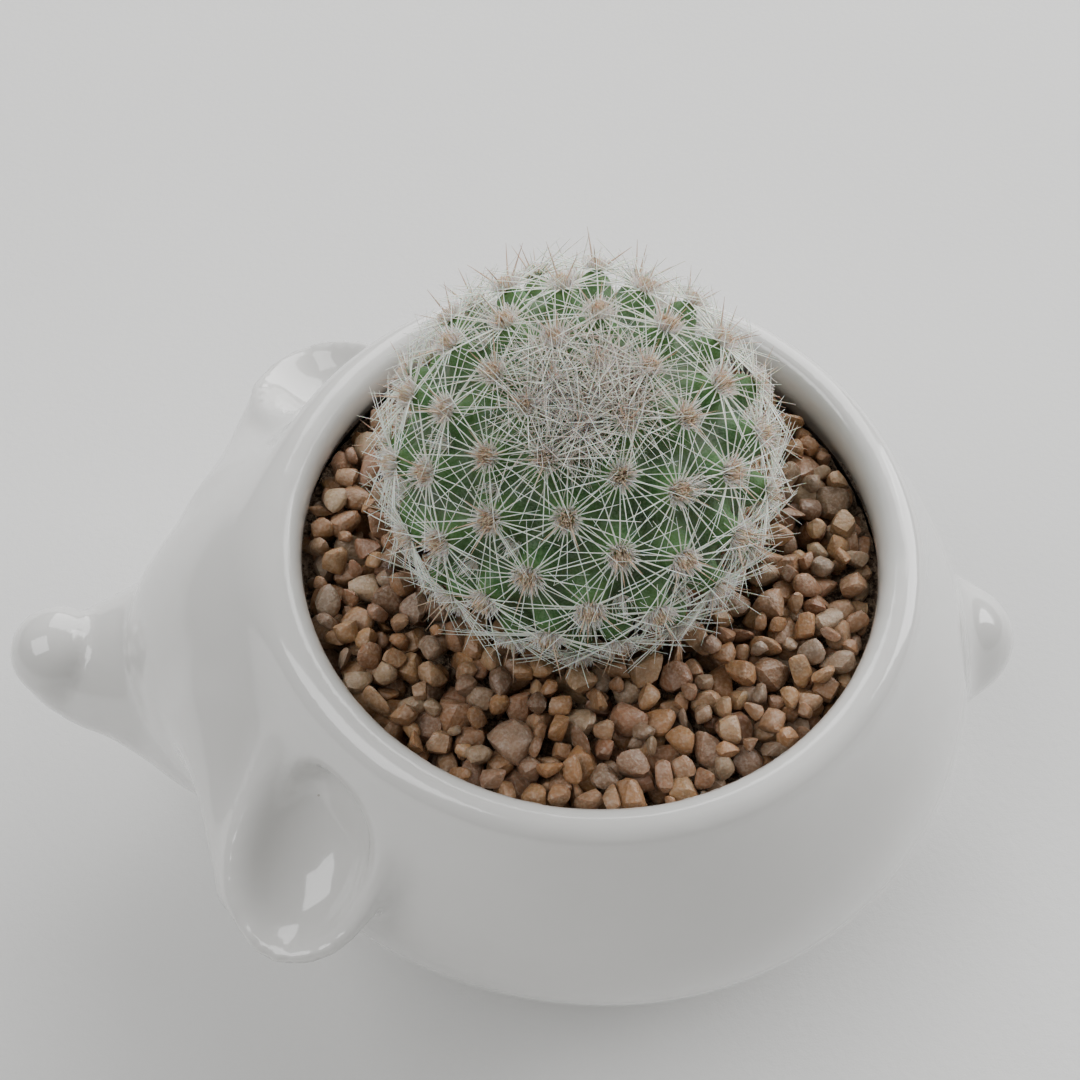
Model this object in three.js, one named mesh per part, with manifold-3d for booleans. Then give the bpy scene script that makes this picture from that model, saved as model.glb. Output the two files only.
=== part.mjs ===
// A globular mammillaria in a white glazed planter shaped like an elephant.
// Millimetres, +Z up. The planter stands on z = 0, its opening is centred on x = y = 0 while it is
// modelled, its trunk points along -X and its tail along +X. At the end the whole plant is moved
// so that its box is centred over the origin.

import * as THREE from "three";
import { mergeVertices } from "three/addons/utils/BufferGeometryUtils.js";
import Module from "manifold-3d";

const wasm = await Module();
wasm.setup();

// Planter: the main sizes

const RIM_HEIGHT = 60;
const OPENING_RADIUS = 32.6;
const LIP_THICKNESS = 3.8;
const LIP_ROUNDING = 1.5;
const COLLAR_FOOT = 46;
const BELLY_CLEARANCE = 3.5;

// The inner wall from the floor to the neck of the opening, as [radius, height] pairs.
const INSIDE = [
  [21, 8],
  [26, 9.3],
  [30.5, 12],
  [34.5, 16.5],
  [38, 23],
  [39.3, 30],
  [38.6, 38],
  [36.6, 46],
  [33.9, 52],
  [OPENING_RADIUS, 56],
];
const FLOOR_TOP = INSIDE[0][1];
const ROUND_SEGMENTS = 48;
const SMALL_SEGMENTS = 16;
const CLAY_CELL = 4.9;

// Slivers smaller than this are merged away wherever shapes were joined.
const FINEST_DETAIL = 0.03;

// Planter: the forms that the potter blended together

const BODY = {
  centreX: 3,
  radiusBack: 46.7,
  radiusFront: 50,
  radiusSide: 44.7,
  widestZ: 29.5,
  shoulder: 42.8,
  bellyPower: 2.3,
};
const FOREHEAD = { centre: [-38, 0, 37.5], radii: [10, 20.5, 17.5] };
const TRUNK_PATH = [
  [-42, 0, 33.5],
  [-46, 0, 26],
  [-55.5, 0, 28.2],
  [-62.6, 0, 27.8],
  [-65.4, 0, 33],
];
const TRUNK_RADII = [14, 14.2, 10, 6.8, 5.8];

// An ear is a shallow bowl behind a thick ridge. Its own axes run back, out and up: the out axis
// slopes down and sweeps forward.
const EAR = {
  centre: [-32, 25, 44],
  slope: 31,
  sweep: 20,
  bowl: { centre: [1, 4.6, 6], radii: [9.8, 12.8, 8.5] },
  hollow: { centre: [1.3, 5, 6], radii: [6.8, 9.9, 5.5] },
  rimHeight: 5.3,
  rimLean: 0.3,
  rimRounding: 2,
  coreInset: 0.6,
};
const EAR_RIDGE = { root: [-39.5, 14, 42], tip: [-40, 33, 38.5], radiusRoot: 7.8, radiusTip: 3 };
const TAIL = { centre: [50.5, 0, 28.5], radii: [6.5, 6.8, 8] };
const FOOT = { x: 20, y: 17, top: 16, radiusTop: 11.5, radiusSole: 10.5 };

// Filling and plant: the main sizes

const FIT_GAP = 0.3;
const WALL_CLEARANCE = 0.5;
const FILLING_SEGMENTS = 32;
const SOIL_TOP = 46;
const GRAVEL_TOP = 52.6;
const PEBBLE_COUNT = 76;
const PEBBLE_RADIUS_SMALL = 2;
const PEBBLE_RADIUS_LARGE = 3.9;
const PEBBLE_HIGHEST = 56.6;
const PEBBLE_SPACING = 0.74;

const STEM = {
  x: -2,
  y: 1.8,
  centreZ: 71.2,
  radius: 16.6,
  height: 14,
  axis: [-0.09, -0.225, 1],
  fullness: 0.2,
};
const NECK_RADIUS = 13.6;
const ROOT = { radiusTop: 4.6, radiusTip: 1.2, tipZ: 26 };
const TUBERCLE = { radius: 4, shoulderRadius: 2.8, shoulder: 1.75, height: 3.1, depth: 2.4 };
const RADIAL_SPINE = { count: 6, length: 6, rootRadius: 0.8, rootDepth: 0.7, rise: 1.2 };
const CENTRAL_SPINE = { length: 4.6, lean: 1.2 };
const GOLDEN_ANGLE = Math.PI * (3 - Math.sqrt(5));
const LOWEST_SPINE_TIP = 57.4;
const LOWEST_AREOLE_TILT = 156;
const LOWEST_AREOLE_HEIGHT = 62.3;

// Every random draw comes from one seeded sequence.
let seed = 20417;
function random() {
  seed = (seed * 16807) % 2147483647;
  return seed / 2147483647;
}
const between = (low, high) => low + (high - low) * random();

// Solids from meshes

function solidFromTriangles(positions, indices) {
  const mesh = new wasm.Mesh({
    numProp: 3,
    vertProperties: new Float32Array(positions),
    triVerts: new Uint32Array(indices),
  });
  return new wasm.Manifold(mesh);
}

// Six times the volume inside the faces, negative where they look inwards.
function signedVolume(positions, indices) {
  const a = new THREE.Vector3();
  const b = new THREE.Vector3();
  const c = new THREE.Vector3();
  let sum = 0;
  for (let i = 0; i < indices.length; i += 3) {
    a.fromArray(positions, indices[i] * 3);
    b.fromArray(positions, indices[i + 1] * 3);
    c.fromArray(positions, indices[i + 2] * 3);
    sum += a.dot(b.cross(c));
  }
  return sum;
}

// Merges the shared vertices, drops the empty triangles at the poles and turns the faces outwards.
function solid(geometry) {
  const bare = geometry.clone();
  bare.deleteAttribute("normal");
  bare.deleteAttribute("uv");
  const merged = mergeVertices(bare, 1e-4);
  const positions = Array.from(merged.attributes.position.array);
  const corners = Array.from(merged.index.array);
  const indices = [];
  for (let i = 0; i < corners.length; i += 3) {
    const [p, q, r] = corners.slice(i, i + 3);
    if (p !== q && q !== r && r !== p) indices.push(p, q, r);
  }
  if (signedVolume(positions, indices) < 0) indices.reverse();
  return solidFromTriangles(positions, indices);
}

// A profile of [radius, height] pairs turned round the z axis.
function turned(profile, segments = ROUND_SEGMENTS) {
  const points = profile.map(([radius, height]) => new THREE.Vector2(radius, height));
  return solid(new THREE.LatheGeometry(points, segments).rotateX(Math.PI / 2));
}

function block(low, high) {
  const size = high.map((value, axis) => value - low[axis]);
  const middle = high.map((value, axis) => (value + low[axis]) / 2);
  return solid(new THREE.BoxGeometry(...size).translate(...middle));
}

// The outer surface alone: pockets that joined pieces close off inside are filled.
function outerShell(manifold) {
  return manifold.decompose().reduce((a, b) => (a.volume() > b.volume() ? a : b));
}

function meshOf(manifold, name, colour, roughness) {
  const { vertProperties, triVerts } = outerShell(manifold).simplify(FINEST_DETAIL).getMesh();
  const geometry = new THREE.BufferGeometry();
  geometry.setAttribute("position", new THREE.BufferAttribute(vertProperties, 3));
  geometry.setIndex(new THREE.BufferAttribute(triVerts, 1));
  geometry.computeVertexNormals();
  const material = new THREE.MeshStandardMaterial({ color: colour, roughness, metalness: 0 });
  const mesh = new THREE.Mesh(geometry, material);
  mesh.name = name;
  return mesh;
}

// Distances to soft forms: negative inside, positive outside

const clamp = (value, low, high) => Math.min(Math.max(value, low), high);

// The nearer of two distances, with a fillet where they are alike.
function blend(a, b, fillet) {
  const overlap = Math.max(fillet - Math.abs(a - b), 0) / fillet;
  return Math.min(a, b) - (overlap * overlap * fillet) / 4;
}

// What is left of a inside b, with rounded edges.
function carve(a, b, rounding) {
  return -blend(-a, -b, rounding);
}

function ellipsoidDistance(point, centre, radii) {
  const scaled = point.map((value, axis) => (value - centre[axis]) / radii[axis]);
  const size = Math.hypot(...scaled);
  const slope = Math.hypot(...scaled.map((value, axis) => value / radii[axis])) + 1e-9;
  return (size * (size - 1)) / slope;
}

function coneDistance(point, start, end, startRadius, endRadius) {
  const along = end.map((value, axis) => value - start[axis]);
  const offset = point.map((value, axis) => value - start[axis]);
  const dot = (p, q) => p[0] * q[0] + p[1] * q[1] + p[2] * q[2];
  const share = clamp(dot(offset, along) / dot(along, along), 0, 1);
  const gap = offset.map((value, axis) => value - along[axis] * share);
  return Math.hypot(...gap) - (startRadius + (endRadius - startRadius) * share);
}

// The trunk runs down the face, forward and up at its tip.
const trunkCurve = new THREE.CatmullRomCurve3(
  TRUNK_PATH.map((p) => new THREE.Vector3(...p)),
  false,
  "catmullrom",
  0.5,
);
const TRUNK_STEPS = 20;
const trunkStations = Array.from({ length: TRUNK_STEPS + 1 }, (_, step) => {
  const share = step / TRUNK_STEPS;
  const place = share * (TRUNK_RADII.length - 1);
  const index = Math.min(Math.floor(place), TRUNK_RADII.length - 2);
  const radius = THREE.MathUtils.lerp(TRUNK_RADII[index], TRUNK_RADII[index + 1], place - index);
  return { at: trunkCurve.getPoint(share).toArray(), radius };
});

function trunkDistance(point) {
  let nearest = Infinity;
  for (let step = 0; step < TRUNK_STEPS; step += 1) {
    const a = trunkStations[step];
    const b = trunkStations[step + 1];
    nearest = Math.min(nearest, coneDistance(point, a.at, b.at, a.radius, b.radius));
  }
  return nearest;
}

// A round barrel: an ellipsoid whose middle moves over the opening as it rises.
function bodyDistance([x, y, z]) {
  const rise = clamp((RIM_HEIGHT - z) / (RIM_HEIGHT - BODY.widestZ), 0, 1);
  const offset = x - BODY.centreX * rise;
  const radiusX = offset > 0 ? BODY.radiusBack : BODY.radiusFront;
  const above = z > BODY.widestZ;
  const radiusZ = above ? BODY.shoulder : BODY.widestZ - BELLY_CLEARANCE;
  const power = above ? 2 : BODY.bellyPower;
  const p = [offset / radiusX, y / BODY.radiusSide, (z - BODY.widestZ) / radiusZ];
  const size = (Math.hypot(p[0], p[1]) ** power + Math.abs(p[2]) ** power) ** (1 / power);
  const slope = Math.hypot(p[0] / radiusX, p[1] / BODY.radiusSide, p[2] / radiusZ) + 1e-9;
  return ((size - 1) * (Math.hypot(...p) + 1e-9)) / slope;
}

function footDistance([x, y, z]) {
  const mirrored = [Math.abs(x), Math.abs(y), z];
  const top = [FOOT.x, FOOT.y, FOOT.top];
  const sole = [FOOT.x + 1, FOOT.y + 1, -4];
  return coneDistance(mirrored, top, sole, FOOT.radiusTop, FOOT.radiusSole);
}

// The collar carries the lip and runs out into the shoulder.
function collarDistance([x, y, z]) {
  const radial = Math.hypot(x, y) - (OPENING_RADIUS + LIP_THICKNESS - 0.9);
  const height = Math.abs(z - RIM_HEIGHT + 8) - 9;
  return Math.max(radial, height);
}

const earCentre = new THREE.Vector3(...EAR.centre);
const xAxis = new THREE.Vector3(1, 0, 0);
const zAxis = new THREE.Vector3(0, 0, 1);

// A point on either side of the head, along the own axes of the ear on that side.
function inEar([x, y, z]) {
  const place = new THREE.Vector3(x, Math.abs(y), z).sub(earCentre);
  place.applyAxisAngle(xAxis, THREE.MathUtils.degToRad(EAR.slope));
  return place.applyAxisAngle(zAxis, -THREE.MathUtils.degToRad(EAR.sweep)).toArray();
}

// The ridge and the core of the ear, a little inside the bowl that is put over it.
function earDistance(point) {
  const place = inEar(point);
  const overRim = EAR.coreInset + place[2] - EAR.rimHeight - EAR.rimLean * place[0];
  const bowl = EAR.coreInset + ellipsoidDistance(place, EAR.bowl.centre, EAR.bowl.radii);
  const mirrored = [point[0], Math.abs(point[1]), point[2]];
  const { root, tip, radiusRoot, radiusTip } = EAR_RIDGE;
  const ridge = coneDistance(mirrored, root, tip, radiusRoot, radiusTip);
  return blend(carve(bowl, overRim, EAR.rimRounding), ridge, 2);
}

// The whole form, closed by a level cut at the rim.
function elephantDistance(point) {
  let distance = bodyDistance(point);
  distance = blend(distance, collarDistance(point), 6);
  distance = blend(distance, ellipsoidDistance(point, FOREHEAD.centre, FOREHEAD.radii), 8);
  distance = blend(distance, trunkDistance(point), 12);
  distance = blend(distance, earDistance(point), 4);
  distance = blend(distance, ellipsoidDistance(point, TAIL.centre, TAIL.radii), 6);
  distance = blend(distance, footDistance(point), 4);
  return Math.max(distance, point[2] - RIM_HEIGHT);
}

// Moves a point down the slope of the distance until it lies on the form.
function settle(point, distance) {
  const step = 0.05;
  for (let round = 0; round < 3; round += 1) {
    const value = distance(point);
    const slope = [0, 1, 2].map((axis) => {
      const ahead = [...point];
      const behind = [...point];
      ahead[axis] += step;
      behind[axis] -= step;
      return (distance(ahead) - distance(behind)) / (2 * step);
    });
    const steepness = slope[0] ** 2 + slope[1] ** 2 + slope[2] ** 2 + 1e-6;
    point = point.map((old, axis) => old - clamp((value * slope[axis]) / steepness, -1.5, 1.5));
  }
  return point;
}

// The distance at every crossing of a cubic grid.
function sampledGrid(distance, low, high, cell) {
  const counts = high.map((value, axis) => Math.ceil((value - low[axis]) / cell) + 1);
  const at = (i, j, k) => (i * counts[1] + j) * counts[2] + k;
  const place = (i, j, k) => [low[0] + i * cell, low[1] + j * cell, low[2] + k * cell];
  const values = new Float64Array(counts[0] * counts[1] * counts[2]);
  for (let i = 0; i < counts[0]; i += 1) {
    for (let j = 0; j < counts[1]; j += 1) {
      for (let k = 0; k < counts[2]; k += 1) values[at(i, j, k)] = distance(place(i, j, k));
    }
  }
  return { counts, at, place, values, cell };
}

const CELL_CORNERS = [0, 1, 2, 3, 4, 5, 6, 7].map((n) => [n & 1, (n >> 1) & 1, (n >> 2) & 1]);
const CELL_EDGES = [0, 1, 2, 3, 4, 5, 6, 7].flatMap((n) => (
  [1, 2, 4].filter((bit) => !(n & bit)).map((bit) => [n, n | bit])
));

// The middle of the points where the surface cuts a cell's edges, or null where it cuts none.
function crossingOf(grid, i, j, k) {
  const local = CELL_CORNERS.map(([a, b, c]) => grid.values[grid.at(i + a, j + b, k + c)]);
  const cut = CELL_EDGES.filter(([p, q]) => local[p] < 0 !== local[q] < 0);
  if (cut.length === 0) return null;
  return grid.place(i, j, k).map((value, axis) => {
    const shares = cut.map(([p, q]) => {
      const share = local[p] / (local[p] - local[q]);
      return CELL_CORNERS[p][axis] + (CELL_CORNERS[q][axis] - CELL_CORNERS[p][axis]) * share;
    });
    return value + (shares.reduce((a, b) => a + b) / cut.length) * grid.cell;
  });
}

// A skin of four-sided patches over the form: one corner in each cell that the surface crosses,
// and one patch across each grid edge that it cuts.
function skinOf(distance, low, high, cell) {
  const grid = sampledGrid(distance, low, high, cell);
  const { counts, at, values } = grid;
  const positions = [];
  const cornerOf = new Map();
  for (let i = 0; i < counts[0] - 1; i += 1) {
    for (let j = 0; j < counts[1] - 1; j += 1) {
      for (let k = 0; k < counts[2] - 1; k += 1) {
        const crossing = crossingOf(grid, i, j, k);
        if (crossing === null) continue;
        cornerOf.set(at(i, j, k), positions.length / 3);
        positions.push(...settle(crossing, distance));
      }
    }
  }

  // Each patch is split along its shorter diagonal.
  const indices = [];
  const span = (p, q) => {
    const [dx, dy, dz] = [0, 1, 2].map((axis) => positions[p * 3 + axis] - positions[q * 3 + axis]);
    return Math.hypot(dx, dy, dz);
  };
  const addPatch = (a, b, c, d, flip) => {
    const [p, q, r, s] = flip ? [a, d, c, b] : [a, b, c, d];
    if (span(p, r) <= span(q, s)) indices.push(p, q, r, p, r, s);
    else indices.push(p, q, s, q, r, s);
  };
  for (let i = 1; i < counts[0] - 1; i += 1) {
    for (let j = 1; j < counts[1] - 1; j += 1) {
      for (let k = 1; k < counts[2] - 1; k += 1) {
        const inside = values[at(i, j, k)] < 0;
        const corner = (a, b, c) => cornerOf.get(at(i + a, j + b, k + c));
        if (inside !== values[at(i + 1, j, k)] < 0) {
          addPatch(corner(0, -1, -1), corner(0, 0, -1), corner(0, 0, 0), corner(0, -1, 0), !inside);
        }
        if (inside !== values[at(i, j + 1, k)] < 0) {
          addPatch(corner(-1, 0, -1), corner(-1, 0, 0), corner(0, 0, 0), corner(0, 0, -1), !inside);
        }
        if (inside !== values[at(i, j, k + 1)] < 0) {
          addPatch(corner(-1, -1, 0), corner(0, -1, 0), corner(0, 0, 0), corner(-1, 0, 0), !inside);
        }
      }
    }
  }
  return solidFromTriangles(positions, indices);
}

// Points of a circle from one angle to another, in degrees.
function arc(centreRadius, centreHeight, radius, from, to, steps) {
  return Array.from({ length: steps + 1 }, (_, step) => {
    const angle = THREE.MathUtils.degToRad(from + ((to - from) * step) / steps);
    return [centreRadius + radius * Math.cos(angle), centreHeight + radius * Math.sin(angle)];
  });
}

function oval({ centre, radii }) {
  return solid(new THREE.SphereGeometry(1, SMALL_SEGMENTS, SMALL_SEGMENTS / 2))
    .scale(radii)
    .translate(centre);
}

// Places a shape that was made along an ear's own axes on both sides of the head.
function onBothEars(shape) {
  const left = shape.rotate([0, 0, EAR.sweep]).rotate([-EAR.slope, 0, 0]).translate(EAR.centre);
  return left.add(left.mirror([0, 1, 0]));
}

function earBowl() {
  const rim = new THREE.Vector3(EAR.rimLean, 0, -1);
  return oval(EAR.bowl).trimByPlane(rim.toArray(), -EAR.rimHeight / rim.length());
}

function makePlanter() {
  const trimHeight = RIM_HEIGHT - 1.8;
  const lipOutside = OPENING_RADIUS + LIP_THICKNESS;
  const trunkTip = { centre: TRUNK_PATH.at(-1), radii: Array(3).fill(TRUNK_RADII.at(-1)) };
  const trimmed = skinOf(elephantDistance, [-76, -50, -20], [62, 50, 66], CLAY_CELL)
    .add(oval(trunkTip))
    .add(oval(TAIL))
    .add(onBothEars(earBowl()))
    .subtract(onBothEars(oval(EAR.hollow)))
    .subtract(block([-90, -60, -20], [90, 60, 0]))
    .subtract(block([-90, -60, trimHeight], [90, 60, 90]));
  const collar = turned([
    [OPENING_RADIUS - 3, COLLAR_FOOT],
    [lipOutside, COLLAR_FOOT],
    ...arc(lipOutside - LIP_ROUNDING, RIM_HEIGHT - LIP_ROUNDING, LIP_ROUNDING, 0, 90, 3),
    [OPENING_RADIUS - 3, RIM_HEIGHT],
    [OPENING_RADIUS - 3, COLLAR_FOOT],
  ]);
  const cavity = turned([
    [0, FLOOR_TOP],
    ...INSIDE,
    ...arc(OPENING_RADIUS + LIP_ROUNDING, RIM_HEIGHT - LIP_ROUNDING, LIP_ROUNDING, 180, 90, 3),
    [OPENING_RADIUS + LIP_ROUNDING, RIM_HEIGHT + 20],
    [0, RIM_HEIGHT + 20],
  ]);
  return trimmed.add(collar).subtract(cavity);
}

// The radius that a filling may have at a height, a little clear of the inner wall.
function fillingRadius(height) {
  const above = INSIDE.findIndex(([, wallHeight]) => wallHeight >= height);
  const [upperRadius, upperHeight] = INSIDE[above];
  const [lowerRadius, lowerHeight] = INSIDE[Math.max(above - 1, 0)];
  const share = (height - lowerHeight) / Math.max(upperHeight - lowerHeight, 1e-6);
  return lowerRadius + (upperRadius - lowerRadius) * clamp(share, 0, 1) - WALL_CLEARANCE;
}

// The soil fills the pot to the gravel and has a plain hole for the root.
function makeSoil() {
  const wallHeights = INSIDE.map(([, height]) => height).filter((height) => height <= SOIL_TOP);
  const holeTop = ROOT.radiusTop + FIT_GAP;
  const holeTip = ROOT.radiusTip + FIT_GAP;
  const side = wallHeights.map((height) => [fillingRadius(height), height]);
  const fill = turned([[0, FLOOR_TOP], ...side, [0, SOIL_TOP]], FILLING_SEGMENTS);
  const hole = turned([
    [0, ROOT.tipZ - 1],
    [holeTip, ROOT.tipZ - 1],
    [holeTop, SOIL_TOP],
    [holeTop, SOIL_TOP + 5],
    [0, SOIL_TOP + 5],
  ], 12);
  return fill.subtract(hole.translate([STEM.x, STEM.y, 0]));
}

// Stones are laid where there is room for them, larger ones first.
function pebblePlaces() {
  const outside = OPENING_RADIUS - FIT_GAP;
  const inside = NECK_RADIUS + FIT_GAP - 0.5;
  const places = [];
  for (let attempt = 0; attempt < 9000 && places.length < PEBBLE_COUNT; attempt += 1) {
    const smallness = places.length / PEBBLE_COUNT;
    const radius = THREE.MathUtils.lerp(PEBBLE_RADIUS_LARGE, PEBBLE_RADIUS_SMALL, smallness ** 0.8);
    const distance = Math.sqrt(between(inside ** 2, outside ** 2));
    const angle = between(0, 2 * Math.PI);
    const x = distance * Math.cos(angle);
    const y = distance * Math.sin(angle);
    if (distance + radius > outside) continue;
    if (Math.hypot(x - STEM.x, y - STEM.y) < inside + radius) continue;
    const tooNear = (p) => Math.hypot(p.x - x, p.y - y) < (p.radius + radius) * PEBBLE_SPACING;
    if (!places.some(tooNear)) places.push({ x, y, radius });
  }
  return places;
}

function pebble({ x, y, radius }) {
  const geometry = new THREE.IcosahedronGeometry(radius, 0);
  geometry.rotateX(between(0, 6));
  geometry.scale(between(0.85, 1), between(0.85, 1), between(0.62, 0.9));
  geometry.rotateZ(between(0, 6));
  geometry.computeBoundingBox();
  const height = geometry.boundingBox.max.z;
  const top = Math.min(GRAVEL_TOP + height * between(0.6, 1.15), PEBBLE_HIGHEST);
  return solid(geometry.translate(x, y, top - height));
}

function makeGravel() {
  const hole = turned([
    [0, SOIL_TOP - 2],
    [NECK_RADIUS + FIT_GAP, SOIL_TOP - 2],
    [NECK_RADIUS + FIT_GAP, GRAVEL_TOP + 8],
    [0, GRAVEL_TOP + 8],
  ], 24);
  let bed = turned([
    [0, SOIL_TOP],
    [fillingRadius(SOIL_TOP), SOIL_TOP],
    [fillingRadius(GRAVEL_TOP), GRAVEL_TOP],
    [0, GRAVEL_TOP],
  ], FILLING_SEGMENTS);
  for (const place of pebblePlaces()) bed = bed.add(pebble(place));
  return bed.subtract(hole.translate([STEM.x, STEM.y, 0]));
}

// Areoles follow each other at the golden angle from the crown down, and grow as they go.
function areoles() {
  const crownCrowding = 4;
  const fullArea = 68;
  const sphere = 2 * Math.PI * (STEM.radius + TUBERCLE.height) ** 2;
  const lowest = Math.cos(THREE.MathUtils.degToRad(LOWEST_AREOLE_TILT));
  const list = [];
  let height = 0.994;
  for (let n = 0; height > lowest; n += 1) {
    const growth = (n + 1.5) / (n + 1.5 + crownCrowding);
    list.push({ turn: n * GOLDEN_ANGLE, tilt: Math.acos(height), growth });
    height -= (fullArea * growth ** 1.6) / sphere;
  }
  return list;
}

// The stem leans a little away from the vertical.
const stemLean = new THREE.Quaternion().setFromUnitVectors(
  new THREE.Vector3(0, 0, 1),
  new THREE.Vector3(...STEM.axis).normalize(),
);

function leaning(geometry) {
  return geometry.applyQuaternion(stemLean).translate(STEM.x, STEM.y, STEM.centreZ);
}

// The place of an areole on the stem before it leans, from the stem's centre. Below its widest
// level the stem narrows more slowly than a globe does.
function footOf({ turn, tilt }) {
  const below = tilt > Math.PI / 2;
  const radius = STEM.radius * Math.sin(tilt) ** (below ? STEM.fullness : 1);
  return new THREE.Vector3(
    radius * Math.cos(turn),
    radius * Math.sin(turn),
    STEM.height * Math.cos(tilt),
  );
}

function isClearOfGravel(areole) {
  return STEM.centreZ + footOf(areole).applyQuaternion(stemLean).z > LOWEST_AREOLE_HEIGHT;
}

// Places a shape that was made pointing along +Z at an areole, standing out of the stem.
function onStem(geometry, areole) {
  const foot = footOf(areole);
  const radii = new THREE.Vector3(STEM.radius, STEM.radius, STEM.height);
  const outward = foot.clone().divide(radii).divide(radii).normalize();
  const spin = new THREE.Quaternion().setFromAxisAngle(new THREE.Vector3(0, 0, 1), areole.turn);
  const swing = new THREE.Quaternion().setFromUnitVectors(new THREE.Vector3(0, 0, 1), outward);
  geometry.applyQuaternion(swing.multiply(spin));
  return leaning(geometry.translate(...foot));
}

// A tubercle with its areole: a blunt cone that ends in a star of radial spines round one
// central spine. Ring by ring the corners are the sunk base, the shoulder, the roots of the
// radial spines above and below, and their tips.
function tubercle(areole) {
  const size = 0.35 + 0.65 * areole.growth;
  const reach = RADIAL_SPINE.length * (0.5 + 0.5 * areole.growth);
  const spike = CENTRAL_SPINE.length * (0.5 + 0.5 * areole.growth) * between(0.8, 1);
  const count = RADIAL_SPINE.count;
  const top = TUBERCLE.height * size;
  const rootRadius = RADIAL_SPINE.rootRadius * (0.5 + 0.5 * size);
  const lean = [0, 1].map(() => between(-CENTRAL_SPINE.lean, CENTRAL_SPINE.lean));
  const positions = [0, 0, -TUBERCLE.depth, ...lean, top + spike];
  const ring = (radius, height, turn) => {
    for (let arm = 0; arm < count; arm += 1) {
      const angle = ((arm + turn) / count) * 2 * Math.PI;
      positions.push(radius * Math.cos(angle), radius * Math.sin(angle), height);
    }
  };
  ring(TUBERCLE.radius * size, -TUBERCLE.depth, 0);
  ring(TUBERCLE.shoulderRadius * size, TUBERCLE.shoulder * size, 0);
  ring(rootRadius, top, 0);
  ring(rootRadius * 1.15, top - RADIAL_SPINE.rootDepth * size, 0.5);
  const firstTip = positions.length / 3;
  for (let arm = 0; arm < count; arm += 1) {
    const angle = ((arm + 0.5) / count) * 2 * Math.PI;
    const far = reach * between(0.86, 1);
    const rise = RADIAL_SPINE.rise * between(0.2, 1.3);
    positions.push(far * Math.cos(angle), far * Math.sin(angle), top + rise);
  }
  const indices = [];
  for (let arm = 0; arm < count; arm += 1) {
    const after = (arm + 1) % count;
    const at = (row, index) => 2 + row * count + index;
    const base = [at(0, arm), at(0, after)];
    const shoulder = [at(1, arm), at(1, after)];
    const root = [at(2, arm), at(2, after)];
    const under = at(3, arm);
    const tip = at(4, arm);
    indices.push(0, base[1], base[0]);
    indices.push(base[0], base[1], shoulder[1], base[0], shoulder[1], shoulder[0]);
    indices.push(shoulder[0], shoulder[1], under);
    indices.push(shoulder[0], under, root[0], shoulder[1], root[1], under);
    indices.push(under, tip, root[0], under, root[1], tip, root[0], tip, root[1]);
    indices.push(root[0], root[1], 1);
  }
  const geometry = new THREE.BufferGeometry();
  geometry.setAttribute("position", new THREE.Float32BufferAttribute(positions, 3));
  geometry.setIndex(indices);
  onStem(geometry, areole);
  liftLowTips(geometry, firstTip);
  return solid(geometry);
}

// Spine tips near the gravel turn up so that they stay clear of the stones.
function liftLowTips(geometry, firstTip) {
  const place = geometry.attributes.position;
  for (let i = firstTip; i < place.count; i += 1) {
    if (place.getZ(i) < LOWEST_SPINE_TIP) place.setZ(i, LOWEST_SPINE_TIP);
  }
}

function makeCactus() {
  const globe = new THREE.SphereGeometry(1, 16, 10).rotateX(Math.PI / 2);
  globe.scale(STEM.radius, STEM.radius, STEM.height);
  let plant = solid(leaning(globe));
  const neck = turned([
    [0, ROOT.tipZ],
    [ROOT.radiusTip, ROOT.tipZ],
    [ROOT.radiusTop, SOIL_TOP],
    [NECK_RADIUS, SOIL_TOP],
    [NECK_RADIUS, GRAVEL_TOP + 4],
    [NECK_RADIUS + 1.5, STEM.centreZ - 6],
    [0, STEM.centreZ - 6],
  ], 16);
  plant = plant.add(neck.translate([STEM.x, STEM.y, 0]));
  for (const areole of areoles().filter(isClearOfGravel)) plant = plant.add(tubercle(areole));
  return plant;
}

const plant = new THREE.Group();
plant.add(meshOf(makePlanter(), "elephant_pot", 0xe9e9e6, 0.12));
plant.add(meshOf(makeSoil(), "potting_soil", 0x4a3527, 1));
plant.add(meshOf(makeGravel(), "gravel_bed", 0xa98563, 0.85));
plant.add(meshOf(makeCactus(), "mammillaria", 0x7f9a78, 0.6));

const box = new THREE.Box3().setFromObject(plant);
const middle = box.getCenter(new THREE.Vector3());
plant.position.set(-middle.x, -middle.y, 0);

export default plant;
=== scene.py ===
# %% [markdown]
# # A mammillaria in an elephant planter
#
# The object is four things: a slip-cast planter with a clear glossy glaze over white clay, the
# potting mix inside it, a top dressing of small stones, and a young globular mammillaria.
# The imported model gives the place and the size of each. This lesson makes the surfaces that the
# eye sees: clay forms blended like soft sculpture, and stones, spines and wool that are grown by
# rules with Geometry Nodes.

# %% The frame and the units
import math
import random

import bpy
import numpy as np
from mathutils import Matrix, Vector


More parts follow.
